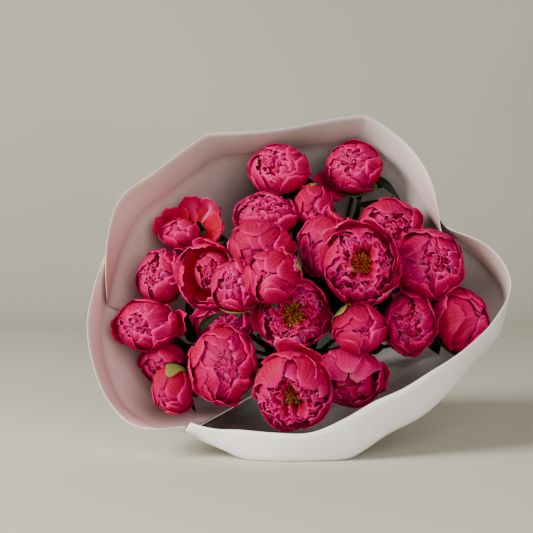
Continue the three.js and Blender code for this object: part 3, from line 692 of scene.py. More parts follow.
@dataclass
class Bloom:
    """One flower head with its petals.

    Turn and lift say where it looks, and spin turns its petals, all in degrees. Ring is false where all its
    outer petals are listed one by one.
    """

    name: str
    kind: Kind
    at: Triple
    size: Triple
    turn: float
    lift: float
    spin: float
    ball: Ball = Ball()
    loose: tuple[Loose, ...] = ()
    sepals: tuple[Sepal, ...] = ()
    tuft: tuple[int, float] = (130, 15.5)
    ring: bool = True
    close: float = 0.0

    def facing(self) -> np.ndarray:
        """Where the flower looks."""
        turn, lift = math.radians(self.turn), math.radians(self.lift)
        return np.array(
            [math.sin(turn) * math.cos(lift), -math.cos(turn) * math.cos(lift), math.sin(lift)]
        )

    def axes(self) -> np.ndarray:
        """The head's own directions to the right, up and out, as rows."""
        out = self.facing()
        right = np.cross([0.0, 0.0, 1.0], out)
        right /= np.linalg.norm(right)
        return np.array([right, np.cross(out, right), out])

    def place(self, points: np.ndarray) -> np.ndarray:
        """Moves points of the head's own frame to their place in the bunch."""
        return within_wrap(np.asarray(self.at) + points @ self.axes())

    def holds(self, points: np.ndarray, spare: float) -> bool:
        """Whether any of the points lies inside the head's size times spare."""
        own = (points - np.asarray(self.at)) @ self.axes().T / np.array(self.size)
        return bool((np.linalg.norm(own, axis=1) < spare).any())

    def on_head(
        self,
        share: np.ndarray,
        around: np.ndarray | float,
        across: np.ndarray | float,
        rise: np.ndarray,
    ) -> np.ndarray:
        """Points of the head in its own frame.

        Args:
            share: How far out, as a share of the head's size.
            around: The side of the head that a petal's middle line runs up, in radians.
            across: The angle sideways from that line.
            rise: The angle up that line, from the stem round to the front.

        Returns:
            The points.
        """
        wide, high, deep = self.size
        flat = np.sin(rise) * np.cos(across)
        return np.stack(
            [
                share * wide * (flat * np.cos(around) - np.sin(across) * np.sin(around)),
                share * high * (flat * np.sin(around) + np.sin(across) * np.cos(around)),
                -share * deep * np.cos(rise) * np.cos(across),
            ],
            1,
        )

    def petal(self, layer: Layer, around: float, rng: random.Random) -> Patch:
        """One petal of a layer.

        Args:
            layer: Its sizes.
            around: Where its middle stands round the head, in degrees.
            rng: The seeded source of its small differences.

        Returns:
            The petal as a sheet.
        """
        u, v, faces = Bench.grid(16, 13) if layer.ruffle > 0.04 else Bench.grid(12, 13)
        reach = layer.reach + self.close * smooth(layer.reach, 120, 150)
        reach = math.radians(reach + layer.uneven * rng.uniform(-2.6, 2.6))
        half = math.radians(layer.half * rng.uniform(0.92, 1.08))
        jagged = math.radians(layer.notch) * wobble(u, rng, layer.waves + 1, 4)
        end = 1 - layer.round * np.abs(u) ** 2.3 * v**2
        rise = reach * mix(layer.foot, 1, v) * end + jagged * v**5
        wide = half * mix(0.34, 1, smooth(v, 0, 0.42)) * (1 - 0.34 * smooth(v, 0.7, 1))
        foot = mix(0.66, 1, smooth(v, -0.1, 0.55))
        share = layer.radius * (1 + 0.011 * layer.uneven * rng.uniform(-1.2, 0.8)) * foot
        share = share * (1 + layer.lean * u * foot + layer.flare * v**3)
        fold = wobble(u, rng, layer.waves, 3)
        gather = wobble(u, rng, layer.waves * 1.8, 2)
        share = share * (1 + layer.ruffle * v**2.2 * fold + 0.008 * v * gather)
        share = share * (1 + 0.35 * layer.ruffle * v**4 * wobble(v * 3, rng, 2, 2))
        edge = np.maximum(smooth(np.abs(u), 0.7, 1.0), smooth(v, 0.8, 1.0))
        share = share * (1 + rng.uniform(-0.012, 0.03) * edge * v)
        across = wide * u + layer.ruffle * 1.2 * v**3 * wobble(u, rng, layer.waves, 2)
        if layer.ball:
            share = share * self.ball.size
        points = self.on_head(share, math.radians(around), across, rise)
        if layer.ball:
            points = points + self.ball_place()
        rim = np.maximum(smooth(np.abs(u), 0.86, 1.0), smooth(v, 0.9, 1.0))
        pale = layer.pale * smooth(v, 0.35, 1.0) * rng.uniform(0.7, 1.1) + 0.75 * rim * smooth(v, 0.3, 0.6)
        pale = np.clip(pale, 0, 1.2) + layer.streak * np.exp(-((u / 0.3) ** 2)) * smooth(v, 1.1, 0.4)
        tone = smooth(v, 0.05, 0.6) * rng.uniform(0.75, 1.0)
        return Patch(self.place(points), u, v, faces, np.clip(pale, 0, 2), tone)

    def stray(self, loose: Loose, rng: random.Random) -> Patch:
        """A listed petal, placed on its own."""
        layer = Layer(
            1, loose.radius, loose.reach, loose.half, 0.02, loose.flare, 0.024, 2.6, 3, loose.pale,
            foot=loose.foot, streak=loose.streak,
        )
        return self.petal(layer, loose.around, rng)

    def frill(self, k: int, frills: Frills, rng: random.Random) -> Patch:
        """One of the small crumpled petals in the middle.

        Args:
            k: Its number, which gives its place in a spiral.
            frills: Where they stand and how large they are.
            rng: The seeded source of its small differences.

        Returns:
            The petal as a sheet that stands on end.
        """
        u, v, faces = Bench.grid(14, 5)
        share = math.sqrt((k + 0.5) / frills.count)
        polar = math.radians(mix(frills.near, frills.far - self.close, share) + rng.uniform(-3, 3))
        around = k * SPIRAL_TURN + rng.uniform(-0.25, 0.25) + math.radians(self.spin)
        ring = np.array([-math.sin(around), math.cos(around), 0.0])
        middle = np.array(
            [math.sin(polar) * math.cos(around), math.sin(polar) * math.sin(around), math.cos(polar)]
        )
        outward = np.cross(ring, middle)
        twist = rng.uniform(-1.0, 1.0)
        along = ring * math.cos(twist) + outward * math.sin(twist)
        over = np.cross(along, middle)
        spread = math.tan(math.radians(frills.half * rng.uniform(0.7, 1.25)))
        wave = 0.27 * wobble(u, rng, 2.8, 3) * mix(0.35, 1, v) + rng.uniform(-0.5, 0.5) * u**2
        way = middle + np.outer(u * spread * mix(0.5, 1, v), along) + np.outer(wave * spread, over)
        way = way - np.outer(frills.lean * v**1.5 * rng.uniform(0.4, 1.5), outward)
        way = way / np.linalg.norm(way, axis=1)[:, None]
        length = mix(frills.low, frills.high * rng.uniform(0.9, 1.03), v)
        length = length * (1 - 0.1 * u**2 * v + 0.045 * v * wobble(u, rng, 4, 2))
        points = way * length[:, None] * np.array(self.size)
        if frills.ball:
            points = points * self.ball.size + self.ball_place()
        pale = mix(0.0, rng.uniform(0.65, 1.2), v**1.6)
        return Patch(self.place(points), u, v, faces, pale, mix(0.5, 1.0, v))

    def core(self) -> Patch:
        """The closed middle that the petals grow from, seen only as shade between them."""
        u, v, faces = Bench.grid(24, 14)
        share, depth, back = CORES[self.kind]
        rise = np.radians(mix(2, 178, v))
        points = self.on_head(np.full_like(u, share), np.pi * u, 0.0, rise)
        points[:, 2] = points[:, 2] * depth / share + back * self.size[2]
        if FRILLS[self.kind].ball:
            points = points * self.ball.size + self.ball_place()
        return Patch(self.place(points), u, v, faces, np.zeros_like(u), np.full_like(u, 0.15))

    def ball_place(self) -> np.ndarray:
        """How far the closed middle stands from the flower's own middle."""
        return np.array([*self.ball.shift, self.ball.rise]) * np.array(self.size)

    def build_petals(self, finishes: list[bpy.types.Material]) -> bpy.types.Object:
        """Builds the head with all its petals."""
        rng = random.Random(int(self.name) * 101 + 7)
        patches = []
        layers = [layer for layer in LAYERS[self.kind] if self.ring or layer.ball]
        for layer in layers:
            for k in range(layer.petals):
                around = self.spin + layer.start + 360 * k / layer.petals
                around += layer.uneven * rng.uniform(-5, 5)
                patches.append(self.petal(layer, around, rng))
        patches += [self.stray(loose, rng) for loose in self.loose]
        frills = FRILLS[self.kind]
        patches += [self.frill(k, frills, rng) for k in range(frills.count)]
        patches.append(self.core())
        piece = Bench.sew("petals_" + self.name, patches)
        for finish in finishes:
            piece.data.materials.append(finish)
        Bench.thicken(piece, PETAL_THICKNESS, 1)
        return Bench.seat(piece, Slot.PETALS, "bloom_" + self.name)

    def build_sepals(self, finish: bpy.types.Material) -> bpy.types.Object | None:
        """Builds the green scales that show round the head."""
        if not self.sepals:
            return None
        rng = random.Random(int(self.name) * 31 + 5)
        patches = []
        for sepal in self.sepals:
            u, v, faces = Bench.grid(8, 10)
            rise = np.radians(sepal.reach) * mix(0.1, 1, v) * (1 - 0.2 * np.abs(u) ** 2.4 * v**2)
            wide = np.radians(sepal.half) * mix(0.55, 1, smooth(v, 0, 0.4)) * (1 - 0.35 * smooth(v, 0.6, 1))
            share = mix(0.82, 1.035, smooth(v, 0, 0.35)) + sepal.stand * v**2
            share = share + 0.01 * wobble(u, rng, 2, 2) * v
            points = self.on_head(share, math.radians(sepal.around), wide * u, rise)
            pale = np.clip(sepal.yellow * (0.35 + 0.65 * v) + 0.3 * np.abs(u) ** 4, 0, 1)
            patches.append(Patch(self.place(points), u, v, faces, pale, np.ones_like(u)))
        piece = Bench.sew("sepals_" + self.name, patches)
        piece.data.materials.append(finish)
        Bench.thicken(piece, GREEN_THICKNESS)
        return Bench.seat(piece, Slot.GREENS)


@dataclass
class Stamens:
    """The tuft of gold in the middle of an open flower."""

    bloom: Bloom
    disc: float = 10.5

    def build(self, finish: bpy.types.Material) -> bpy.types.Object:
        """Builds every filament with its anther."""
        rng = random.Random(int(self.bloom.name) + 400)
        threads = [self.thread(k, rng) for k in range(self.bloom.tuft[0])]
        piece = Bench.sew("stamens_fine_" + self.bloom.name, threads)
        piece.data.materials.append(finish)
        Bench.hold(piece)
        bpy.ops.object.shade_smooth()
        return Bench.seat(piece, Slot.STAMENS, "stamens_" + self.bloom.name)

    def thread(self, k: int, rng: random.Random) -> Patch:
        """One filament with the anther at its end, as a tapering tube."""
        sides, rings, anther = 5, 7, 3
        count, full = self.bloom.tuft
        share = math.sqrt((k + 0.5) / count)
        turn = k * SPIRAL_TURN + rng.uniform(-0.3, 0.3)
        foot = np.array([math.cos(turn), math.sin(turn), 0.0]) * self.disc * 0.72 * share
        foot[2] = 0.1 * self.bloom.size[2]
        lean = math.radians(mix(4, 60, share) + rng.uniform(-16, 14))
        length = full * rng.uniform(0.65, 1.12) * mix(1.0, 0.8, share)
        bend = rng.uniform(-0.9, 0.9)
        stations = np.array([0.0, 0.35, 0.7, 0.8, 0.87, 0.95, 1.0])
        radii = np.array([0.26, 0.22, 0.2, 0.62, 0.72, 0.55, 0.12])
        way = np.array([math.cos(turn) * math.sin(lean), math.sin(turn) * math.sin(lean), math.cos(lean)])
        side = np.array([-math.sin(turn), math.cos(turn), 0.0])
        up = np.cross(way, side)
        points, across, along, pale = [], [], [], []
        for ring, (station, radius) in enumerate(zip(stations, radii)):
            middle = foot + way * length * station + side * bend * length * 0.3 * station**2
            middle = middle + np.array([0, 0, 1.0]) * length * 0.1 * station**2
            for s in range(sides):
                a = 2 * math.pi * s / sides
                points.append(middle + radius * (side * math.cos(a) + up * math.sin(a)))
                across.append(2 * s / sides - 1)
                along.append(ring / (rings - 1))
                pale.append(0.0 if ring < anther else rng.uniform(0.3, 1.0))
        faces = []
        for ring in range(rings - 1):
            for s in range(sides):
                a, b = ring * sides + s, ring * sides + (s + 1) % sides
                faces.append((a, b, b + sides, a + sides))
        for first, order in ((0, -1), ((rings - 1) * sides, 1)):
            loop = [first + s for s in range(sides)][::order]
            faces.append((loop[0], loop[1], loop[2], loop[3]))
        spot = self.bloom.place(np.array(points))
        return Patch(
            spot, np.array(across), np.array(along), np.array(faces), np.array(pale), np.ones(len(points))
        )


# Closed middles that stand off their flower's own middle or differ in size
BALLS: dict[str, Ball] = {
    "05": Ball((-0.26, -0.3), size=0.85),
    "07": Ball((0.2, 0.08), size=0.86),
    "19": Ball((0.0, -0.24), rise=0.22),
    "24": Ball((0.2, 0.25), rise=0.4, size=1.15),
}

# Petals placed one by one, many of them standing away from their flower
STRAYS: dict[str, tuple[Loose, ...]] = {
    "02": (
        Loose(205, 26, 98, 1.12, 0.3, 0.1),
        Loose(232, 22, 100, 1.08, 0.3, 0.1),
        Loose(80, 44, 112, 1.04, 0.04, 0.1),
    ),
    "05": (
        Loose(262, 46, 100, 0.96, 0.0, 0.3),
        Loose(330, 42, 98, 0.96, 0.02, 0.1),
        Loose(215, 38, 106, 1.0, 0.0, 0.5),
        Loose(24, 28, 92, 0.9, 0.04, 0.3),
        Loose(142, 30, 97, 1.0, 0.03, 0.0),
        Loose(176, 32, 103, 1.04, 0.06, 0.2),
        Loose(96, 24, 97, 1.08, 0.1, 0.3, streak=0.8),
        Loose(66, 23, 99, 1.06, 0.08, 0.5, streak=1.45),
    ),
    "08": (Loose(178, 22, 112, 1.03, 0.03, 0.9, streak=0.3), Loose(330, 30, 118, 1.02, 0.06, 0.2)),
    "10": (Loose(20, 26, 116, 1.05, 0.12, 0.3), Loose(52, 26, 112, 1.04, 0.1, 0.5)),
    "11": (Loose(60, 36, 118, 1.1, 0.14, 0.4), Loose(150, 44, 116, 1.04, 0.06, 0.3)),
    "12": (
        Loose(122, 26, 118, 1.07, 0.1, 0.8),
        Loose(58, 28, 120, 1.05, 0.08, 0.6),
        Loose(305, 36, 122, 1.04, 0.04, 0.4),
    ),
    "15": (Loose(150, 46, 118, 1.02, 0.02, 0.7),),
    "16": (Loose(250, 46, 116, 1.03, 0.03, 0.2),),
    "19": (
        Loose(120, 38, 160, 1.02, -0.03, 1.0, 0.12, 0.45),
        Loose(62, 34, 164, 0.99, 0.0, 1.0, 0.12, 0.5),
        Loose(92, 32, 146, 1.06, 0.03, 1.0, 0.12, 0.45),
        Loose(352, 30, 112, 1.03, 0.04, 0.0),
        Loose(168, 34, 130, 1.05, 0.04, 0.8, 0.12),
    ),
    "20": (
        Loose(96, 15, 90, 1.14, 0.2, 0.8, streak=0.5),
        Loose(66, 22, 93, 1.1, 0.12, 0.4),
        Loose(128, 44, 142, 0.97, 0.0, 0.35, 0.12),
        Loose(52, 44, 148, 0.94, 0.0, 0.25, 0.12),
    ),
    "21": (
        Loose(190, 40, 114, 1.05, 0.07, 0.2),
        Loose(258, 44, 118, 1.04, 0.06, 0.2),
        Loose(10, 44, 128, 1.02, 0.0, 0.15),
        Loose(215, 42, 148, 0.98, 0.0, 0.3, 0.12),
        Loose(300, 40, 146, 0.98, 0.0, 0.2, 0.12),
    ),
    "22": (Loose(150, 30, 104, 1.06, 0.12, 0.8, streak=0.3),),
    "23": (Loose(6, 28, 102, 1.14, 0.2, 0.3), Loose(190, 34, 108, 1.04, 0.06, 0.1)),
    "24": (Loose(75, 34, 132, 1.02, 0.0, 0.9, streak=0.4), Loose(205, 30, 98, 1.08, 0.16, 0.1)),
}

# Sepals that show under or over a flower
SCALES: dict[str, tuple[Sepal, ...]] = {
    "02": (Sepal(292, 30, 94, 0.12, 0.0), Sepal(255, 20, 84, 0.08, 0.0)),
    "03": (Sepal(88, 17, 110, 0.0, 0.4), Sepal(255, 26, 104, 0.03, 0.9)),
    "06": (Sepal(300, 24, 70, 0.02, 0.3),),
    "09": (Sepal(264, 44, 106, 0.03, 0.8), Sepal(225, 24, 90, 0.03, 0.2)),
    "10": (Sepal(22, 20, 112, 0.15, 1.0),),
    "14": (Sepal(290, 24, 74, 0.02, 0.3),),
    "15": (Sepal(250, 26, 78, 0.02, 0.4),),
    "17": (Sepal(134, 30, 116, 0.03, 1.0),),
    "25": (Sepal(76, 27, 121, 0.0, 0.45), Sepal(200, 24, 80, 0.02, 0.3)),
}

# How many stamens an open flower has, and their length
TUFTS: dict[str, tuple[int, float]] = {"12": (90, 10.5), "18": (170, 18.5), "20": (80, 10.5)}

# Degrees by which a flower's petals reach further over its middle, or less far below zero
CLOSED: dict[str, float] = {
    "01": -3, "02": 9, "04": -5, "06": 1, "09": 4, "13": -3, "14": -1, "16": -3, "21": 5, "23": 8
}


def blooms() -> list[Bloom]:
    """The flower heads, each with its place, half sizes, turn, lift and spin."""
    rows = [
        ("01", Kind.GLOBE, (-25, 105, 357), (42, 35, 33), -25, 25, 10),
        ("02", Kind.GLOBE, (74, 120, 360), (39, 35, 31), -10, 20, 50),
        ("03", Kind.BUD, (20, 82, 308), (26, 30, 26), -10, -10, 80),
        ("04", Kind.GLOBE, (-42, 73, 297), (41, 31, 30), -5, 38, 25),
        ("05", Kind.LOOSE, (-141, 95, 283), (47, 35, 31), -20, 20, 0),
        ("06", Kind.GLOBE, (-178, 72, 217), (32, 37, 29), -20, 15, 30),
        ("07", Kind.CUP, (-117, 36, 223), (40, 43, 31), -8, -4, 65),
        ("08", Kind.BUD, (-48, 19, 260), (41, 32, 31), -12, -15, 0),
        ("09", Kind.GLOBE, (-78, -14, 211), (32, 33, 29), -12, 12, 40),
        ("10", Kind.BUD, (-36, -58, 224), (34, 33, 29), -20, 5, 15),
        ("11", Kind.BUD, (33, 44, 256), (36, 41, 28), -38, 6, 20),
        ("12", Kind.OPEN, (73, -4, 237), (48, 51, 35), 8, 4, 0),
        ("13", Kind.GLOBE, (120, 91, 281), (43, 37, 32), 5, -5, 70),
        ("14", Kind.GLOBE, (164, 41, 235), (45, 46, 35), 3, 8, 35),
        ("15", Kind.BUD, (206, 48, 163), (38, 45, 35), 34, 20, 5),
        ("16", Kind.GLOBE, (137, 19, 162), (33, 39, 30), -4, 0, 20),
        ("17", Kind.BUD, (70, -35, 160), (33, 31, 29), 10, 5, 60),
        ("18", Kind.OPEN, (-9, 2, 175), (49, 44, 32), 3, 3, 25),
        ("19", Kind.CUP, (61, -4, 98), (45, 37, 32), -6, -20, 45),
        ("20", Kind.OPEN, (-10, -48, 87), (47, 51, 34), -6, -22, 10),
        ("21", Kind.GLOBE, (-93, -17, 116), (41, 47, 35), 12, 8, 75),
        ("22", Kind.GLOBE, (-95, 50, 158), (38, 27, 26), -5, 0, 55),
        ("23", Kind.GLOBE, (-194, 43, 158), (41, 33, 31), -15, 8, 15),
        ("24", Kind.LOOSE, (-173, 68, 104), (38, 32, 28), -30, -14, 30),
        ("25", Kind.BUD, (-156, 1, 82), (27, 32, 28), -22, -24, 5),
    ]
    heads = {row[0]: Bloom(*row) for row in rows}
    heads["05"].ring = False  # its outer petals are all listed one by one
    for name, head in heads.items():
        head.ball = BALLS.get(name, head.ball)
        head.loose = STRAYS.get(name, ())
        head.sepals = SCALES.get(name, ())
        head.tuft = TUFTS.get(name, head.tuft)
        head.close = CLOSED.get(name, head.close)
    return list(heads.values())


# Greenery


@dataclass
class Stem:
    """A cut stem with its leaf, rounded from its plain solid."""

    name: str
    levels: int = 2

    def build(self, node: bpy.types.Object, finish: bpy.types.Material) -> bpy.types.Object:
        """Makes the fine stem from a merged copy of the solid.

        Args:
            node: The plain stem.
            finish: Its skin.

        Returns:
            The finished piece.
        """
        piece = bpy.data.objects.new("stem_fine_" + self.name, node.data.copy())
        bpy.context.scene.collection.objects.link(piece)
        piece.data.materials.clear()
        piece.data.materials.append(finish)
        Bench.hold(piece)
        bpy.ops.object.mode_set(mode="EDIT")
        bpy.ops.mesh.select_all(action="SELECT")
        bpy.ops.mesh.remove_doubles(threshold=0.00002)
        bpy.ops.mesh.tris_convert_to_quads(face_threshold=0.9, shape_threshold=1.2)
        bpy.ops.object.mode_set(mode="OBJECT")
        round_off = piece.modifiers.new("round", "SUBSURF")
        round_off.levels = round_off.render_levels = self.levels
        bpy.ops.object.modifier_apply(modifier=round_off.name)
        bpy.ops.object.shade_smooth()
        return Bench.seat(piece, Slot.GREENS, "stem_" + self.name)


@dataclass(frozen=True)
class Leaf:
    """A leaf whose foot and tip are pixels across and down, and a depth in millimetres."""

    name: str
    foot: Triple
    tip: Triple
    width: float
    arch: float
    roll: float = 0.0


@dataclass(frozen=True)
class Shot:
    """The camera: level, with its rise taken by a small shift."""

    at: Triple = (-41.2, -1500.0, 291.0)
    focal: float = 1220.0
    frame: float = 533.0
    horizon: float = 220.0
    sensor: float = 36.0

    def spot(self, across: float, down: float, depth: float) -> np.ndarray:
        """The place at a depth that shows at a pixel."""
        far = (depth - self.at[1]) / self.focal
        middle = self.frame / 2
        return np.array(
            [self.at[0] + (across - middle) * far, depth, self.at[2] - (down - self.horizon) * far]
        )

    def build(self) -> bpy.types.Object:
        """Creates the camera and makes it the scene's own."""
        data = bpy.data.cameras.new("camera")
        data.sensor_width = self.sensor
        data.lens = self.sensor * self.focal / self.frame
        data.shift_y = (self.horizon - self.frame / 2) / self.frame
        data.dof.use_dof = False
        data.clip_start, data.clip_end = 0.05, 20
        camera = bpy.data.objects.new("camera", data)
        bpy.context.scene.collection.objects.link(camera)
        camera.location = Bench.row(np.array(self.at))
        camera.rotation_euler = (math.pi / 2, 0, 0)
        bpy.context.scene.camera = camera
        return camera


LEAVES = [
    Leaf("right_of_02", (370, 176, 150), (401, 201, 128), 13, 10, 0.3),
    Leaf("over_13", (356, 205, 150), (400, 199, 122), 10, -6, 0.4),
    Leaf("under_02", (352, 224, 145), (359, 198, 120), 9, 4, 1.2),
    Leaf("between_06_09", (198, 342, 120), (186, 302, 70), 32, 6, 0.2),
    Leaf("between_11_18", (306, 312, 130), (312, 248, 100), 44, 6, 0.2),
    Leaf("beside_18", (352, 352, 130), (338, 286, 90), 40, 6, 0.2),
    Leaf("between_14_16", (380, 342, 120), (389, 290, 90), 44, 6, 0.2),
    Leaf("between_12_18", (331, 318, 130), (327, 266, 100), 34, 6, 0.2),
    Leaf("between_02_13", (352, 262, 150), (346, 214, 130), 26, 6, 0.3),
    Leaf("under_09", (199, 330, 40), (225, 311, -22), 13, 5, 0.1),
    Leaf("by_25", (182, 392, 60), (196, 412, 12), 12, 3, 0.4),
    Leaf("between_03_08", (296, 240, 120), (292, 212, 62), 18, 5, 0.3),
    Leaf("under_01", (312, 205, 150), (300, 182, 96), 16, 3, 0.2),
]


@dataclass
class Foliage:
    """The leaves that show between the flowers, and those that stand behind each flower.

    A leaf behind a flower may meet others up to NEAR_FOOT of its way. Past that it keeps out of their
    sizes times SPARE, and is shortened to no less than SHORTEST of its length for it, or left out.
    """

    leaves: list[Leaf]
    shot: Shot
    heads: list[Bloom]
    ROWS: int = 14
    BEHIND: int = 6
    NEAR_FOOT: float = 0.3
    SHORTEST: float = 0.5
    SPARE: float = 1.1
    TRIALS: int = 9

    def behind(self, bloom: Bloom) -> list[Patch]:
        """Leaves that spring from a stem below its flower and spread behind it."""
        rng = random.Random(int(bloom.name) * 13 + 1)
        patches = []
        wide, high, deep = bloom.size
        for k in range(self.BEHIND):
            turn = 2 * math.pi * (k + rng.uniform(-0.3, 0.3)) / self.BEHIND + math.radians(bloom.spin)
            out = np.array([math.cos(turn) * wide, math.sin(turn) * high, 0.0])
            foot = np.array([0.0, 0.0, -0.88 * deep - rng.uniform(14, 26)])
            tip = out * rng.uniform(0.95, 1.24) + np.array([0.0, 0.0, -rng.uniform(0.7, 1.2) * deep])
            ends = bloom.place(np.array([foot, tip]))
            width, arch = rng.uniform(18, 27), rng.uniform(2, 7)
            length = self.free_length(bloom, ends[0], ends[1])
            if length > 0:
                end = ends[0] + length * (ends[1] - ends[0])
                patches.append(self.ribbed(ends[0], end, width, arch, turn))
        return patches

    def free_length(self, bloom: Bloom, foot: np.ndarray, tip: np.ndarray) -> float:
        """How much of a leaf stays out of the other flowers.

        Args:
            bloom: The flower that it stands behind.
            foot: Where the leaf starts.
            tip: Where it would end in the open.

        Returns:
            The share of its length that it may have, or 0 where it has no room.
        """
        others = [other for other in self.heads if other.name != bloom.name]
        shares = np.linspace(self.NEAR_FOOT, 1, self.TRIALS)
        for length in np.linspace(1, self.SHORTEST, self.TRIALS):
            line = foot + np.outer(length * shares, tip - foot)
            if not any(other.holds(line, self.SPARE) for other in others):
                return float(length)
        return 0.0

    def blade(self, leaf: Leaf) -> Patch:
        """One leaf between its two places in the picture."""
        ends = (self.shot.spot(*leaf.foot), self.shot.spot(*leaf.tip))
        return self.ribbed(*ends, leaf.width, leaf.arch, leaf.roll)

    def ribbed(self, foot: np.ndarray, tip: np.ndarray, width: float, arch: float, roll: float) -> Patch:
        """A leaf from foot to tip, folded a little along its rib.

        Args:
            foot: Where it leaves its stem.
            tip: Where it ends.
            width: Its widest.
            arch: How far its middle stands out of the straight line.
            roll: How its face is turned, in radians.

        Returns:
            The leaf as a sheet.
        """
        u, v, faces = Bench.grid(8, self.ROWS)
        way = tip - foot
        length = np.linalg.norm(way)
        way /= length
        side = np.cross(way, [0.4 * math.sin(roll), -1.0, 0.3 * math.cos(roll)])
        side /= np.linalg.norm(side)
        face = np.cross(side, way)
        shape = np.sin(np.pi * np.clip(v, 0, 1) ** 0.8) ** 0.9 * (1 - 0.25 * v) + 0.08 * (1 - v)
        middle = foot + np.outer(v * length, way) + np.outer(arch * np.sin(np.pi * v), face)
        points = middle + np.outer(u * shape * width / 2, side)
        lift = 0.16 * width * shape * np.abs(u) + 0.5 * np.sin(9 * v + 3 * u) * np.abs(u)
        points = points + np.outer(lift, face)
        pale = np.clip(0.5 * (1 - smooth(np.abs(u), 0, 0.14)) + 0.25 * smooth(np.abs(u), 0.9, 1), 0, 1)
        return Patch(within_wrap(points, 4.0), u, v, faces, pale, np.ones_like(u))

    def build(self, finish: bpy.types.Material) -> None:
        """Builds each single leaf, and the leaves behind each flower, as a piece of its own."""
        sprays = [("leaf_" + leaf.name, [self.blade(leaf)]) for leaf in self.leaves]
        sprays += [("leaves_behind_" + bloom.name, self.behind(bloom)) for bloom in self.heads]
        for name, patches in sprays:
            piece = Bench.sew(name, patches)
            piece.data.materials.append(finish)
            Bench.thicken(piece, GREEN_THICKNESS)
            Bench.seat(piece, Slot.GREENS)


# Paper


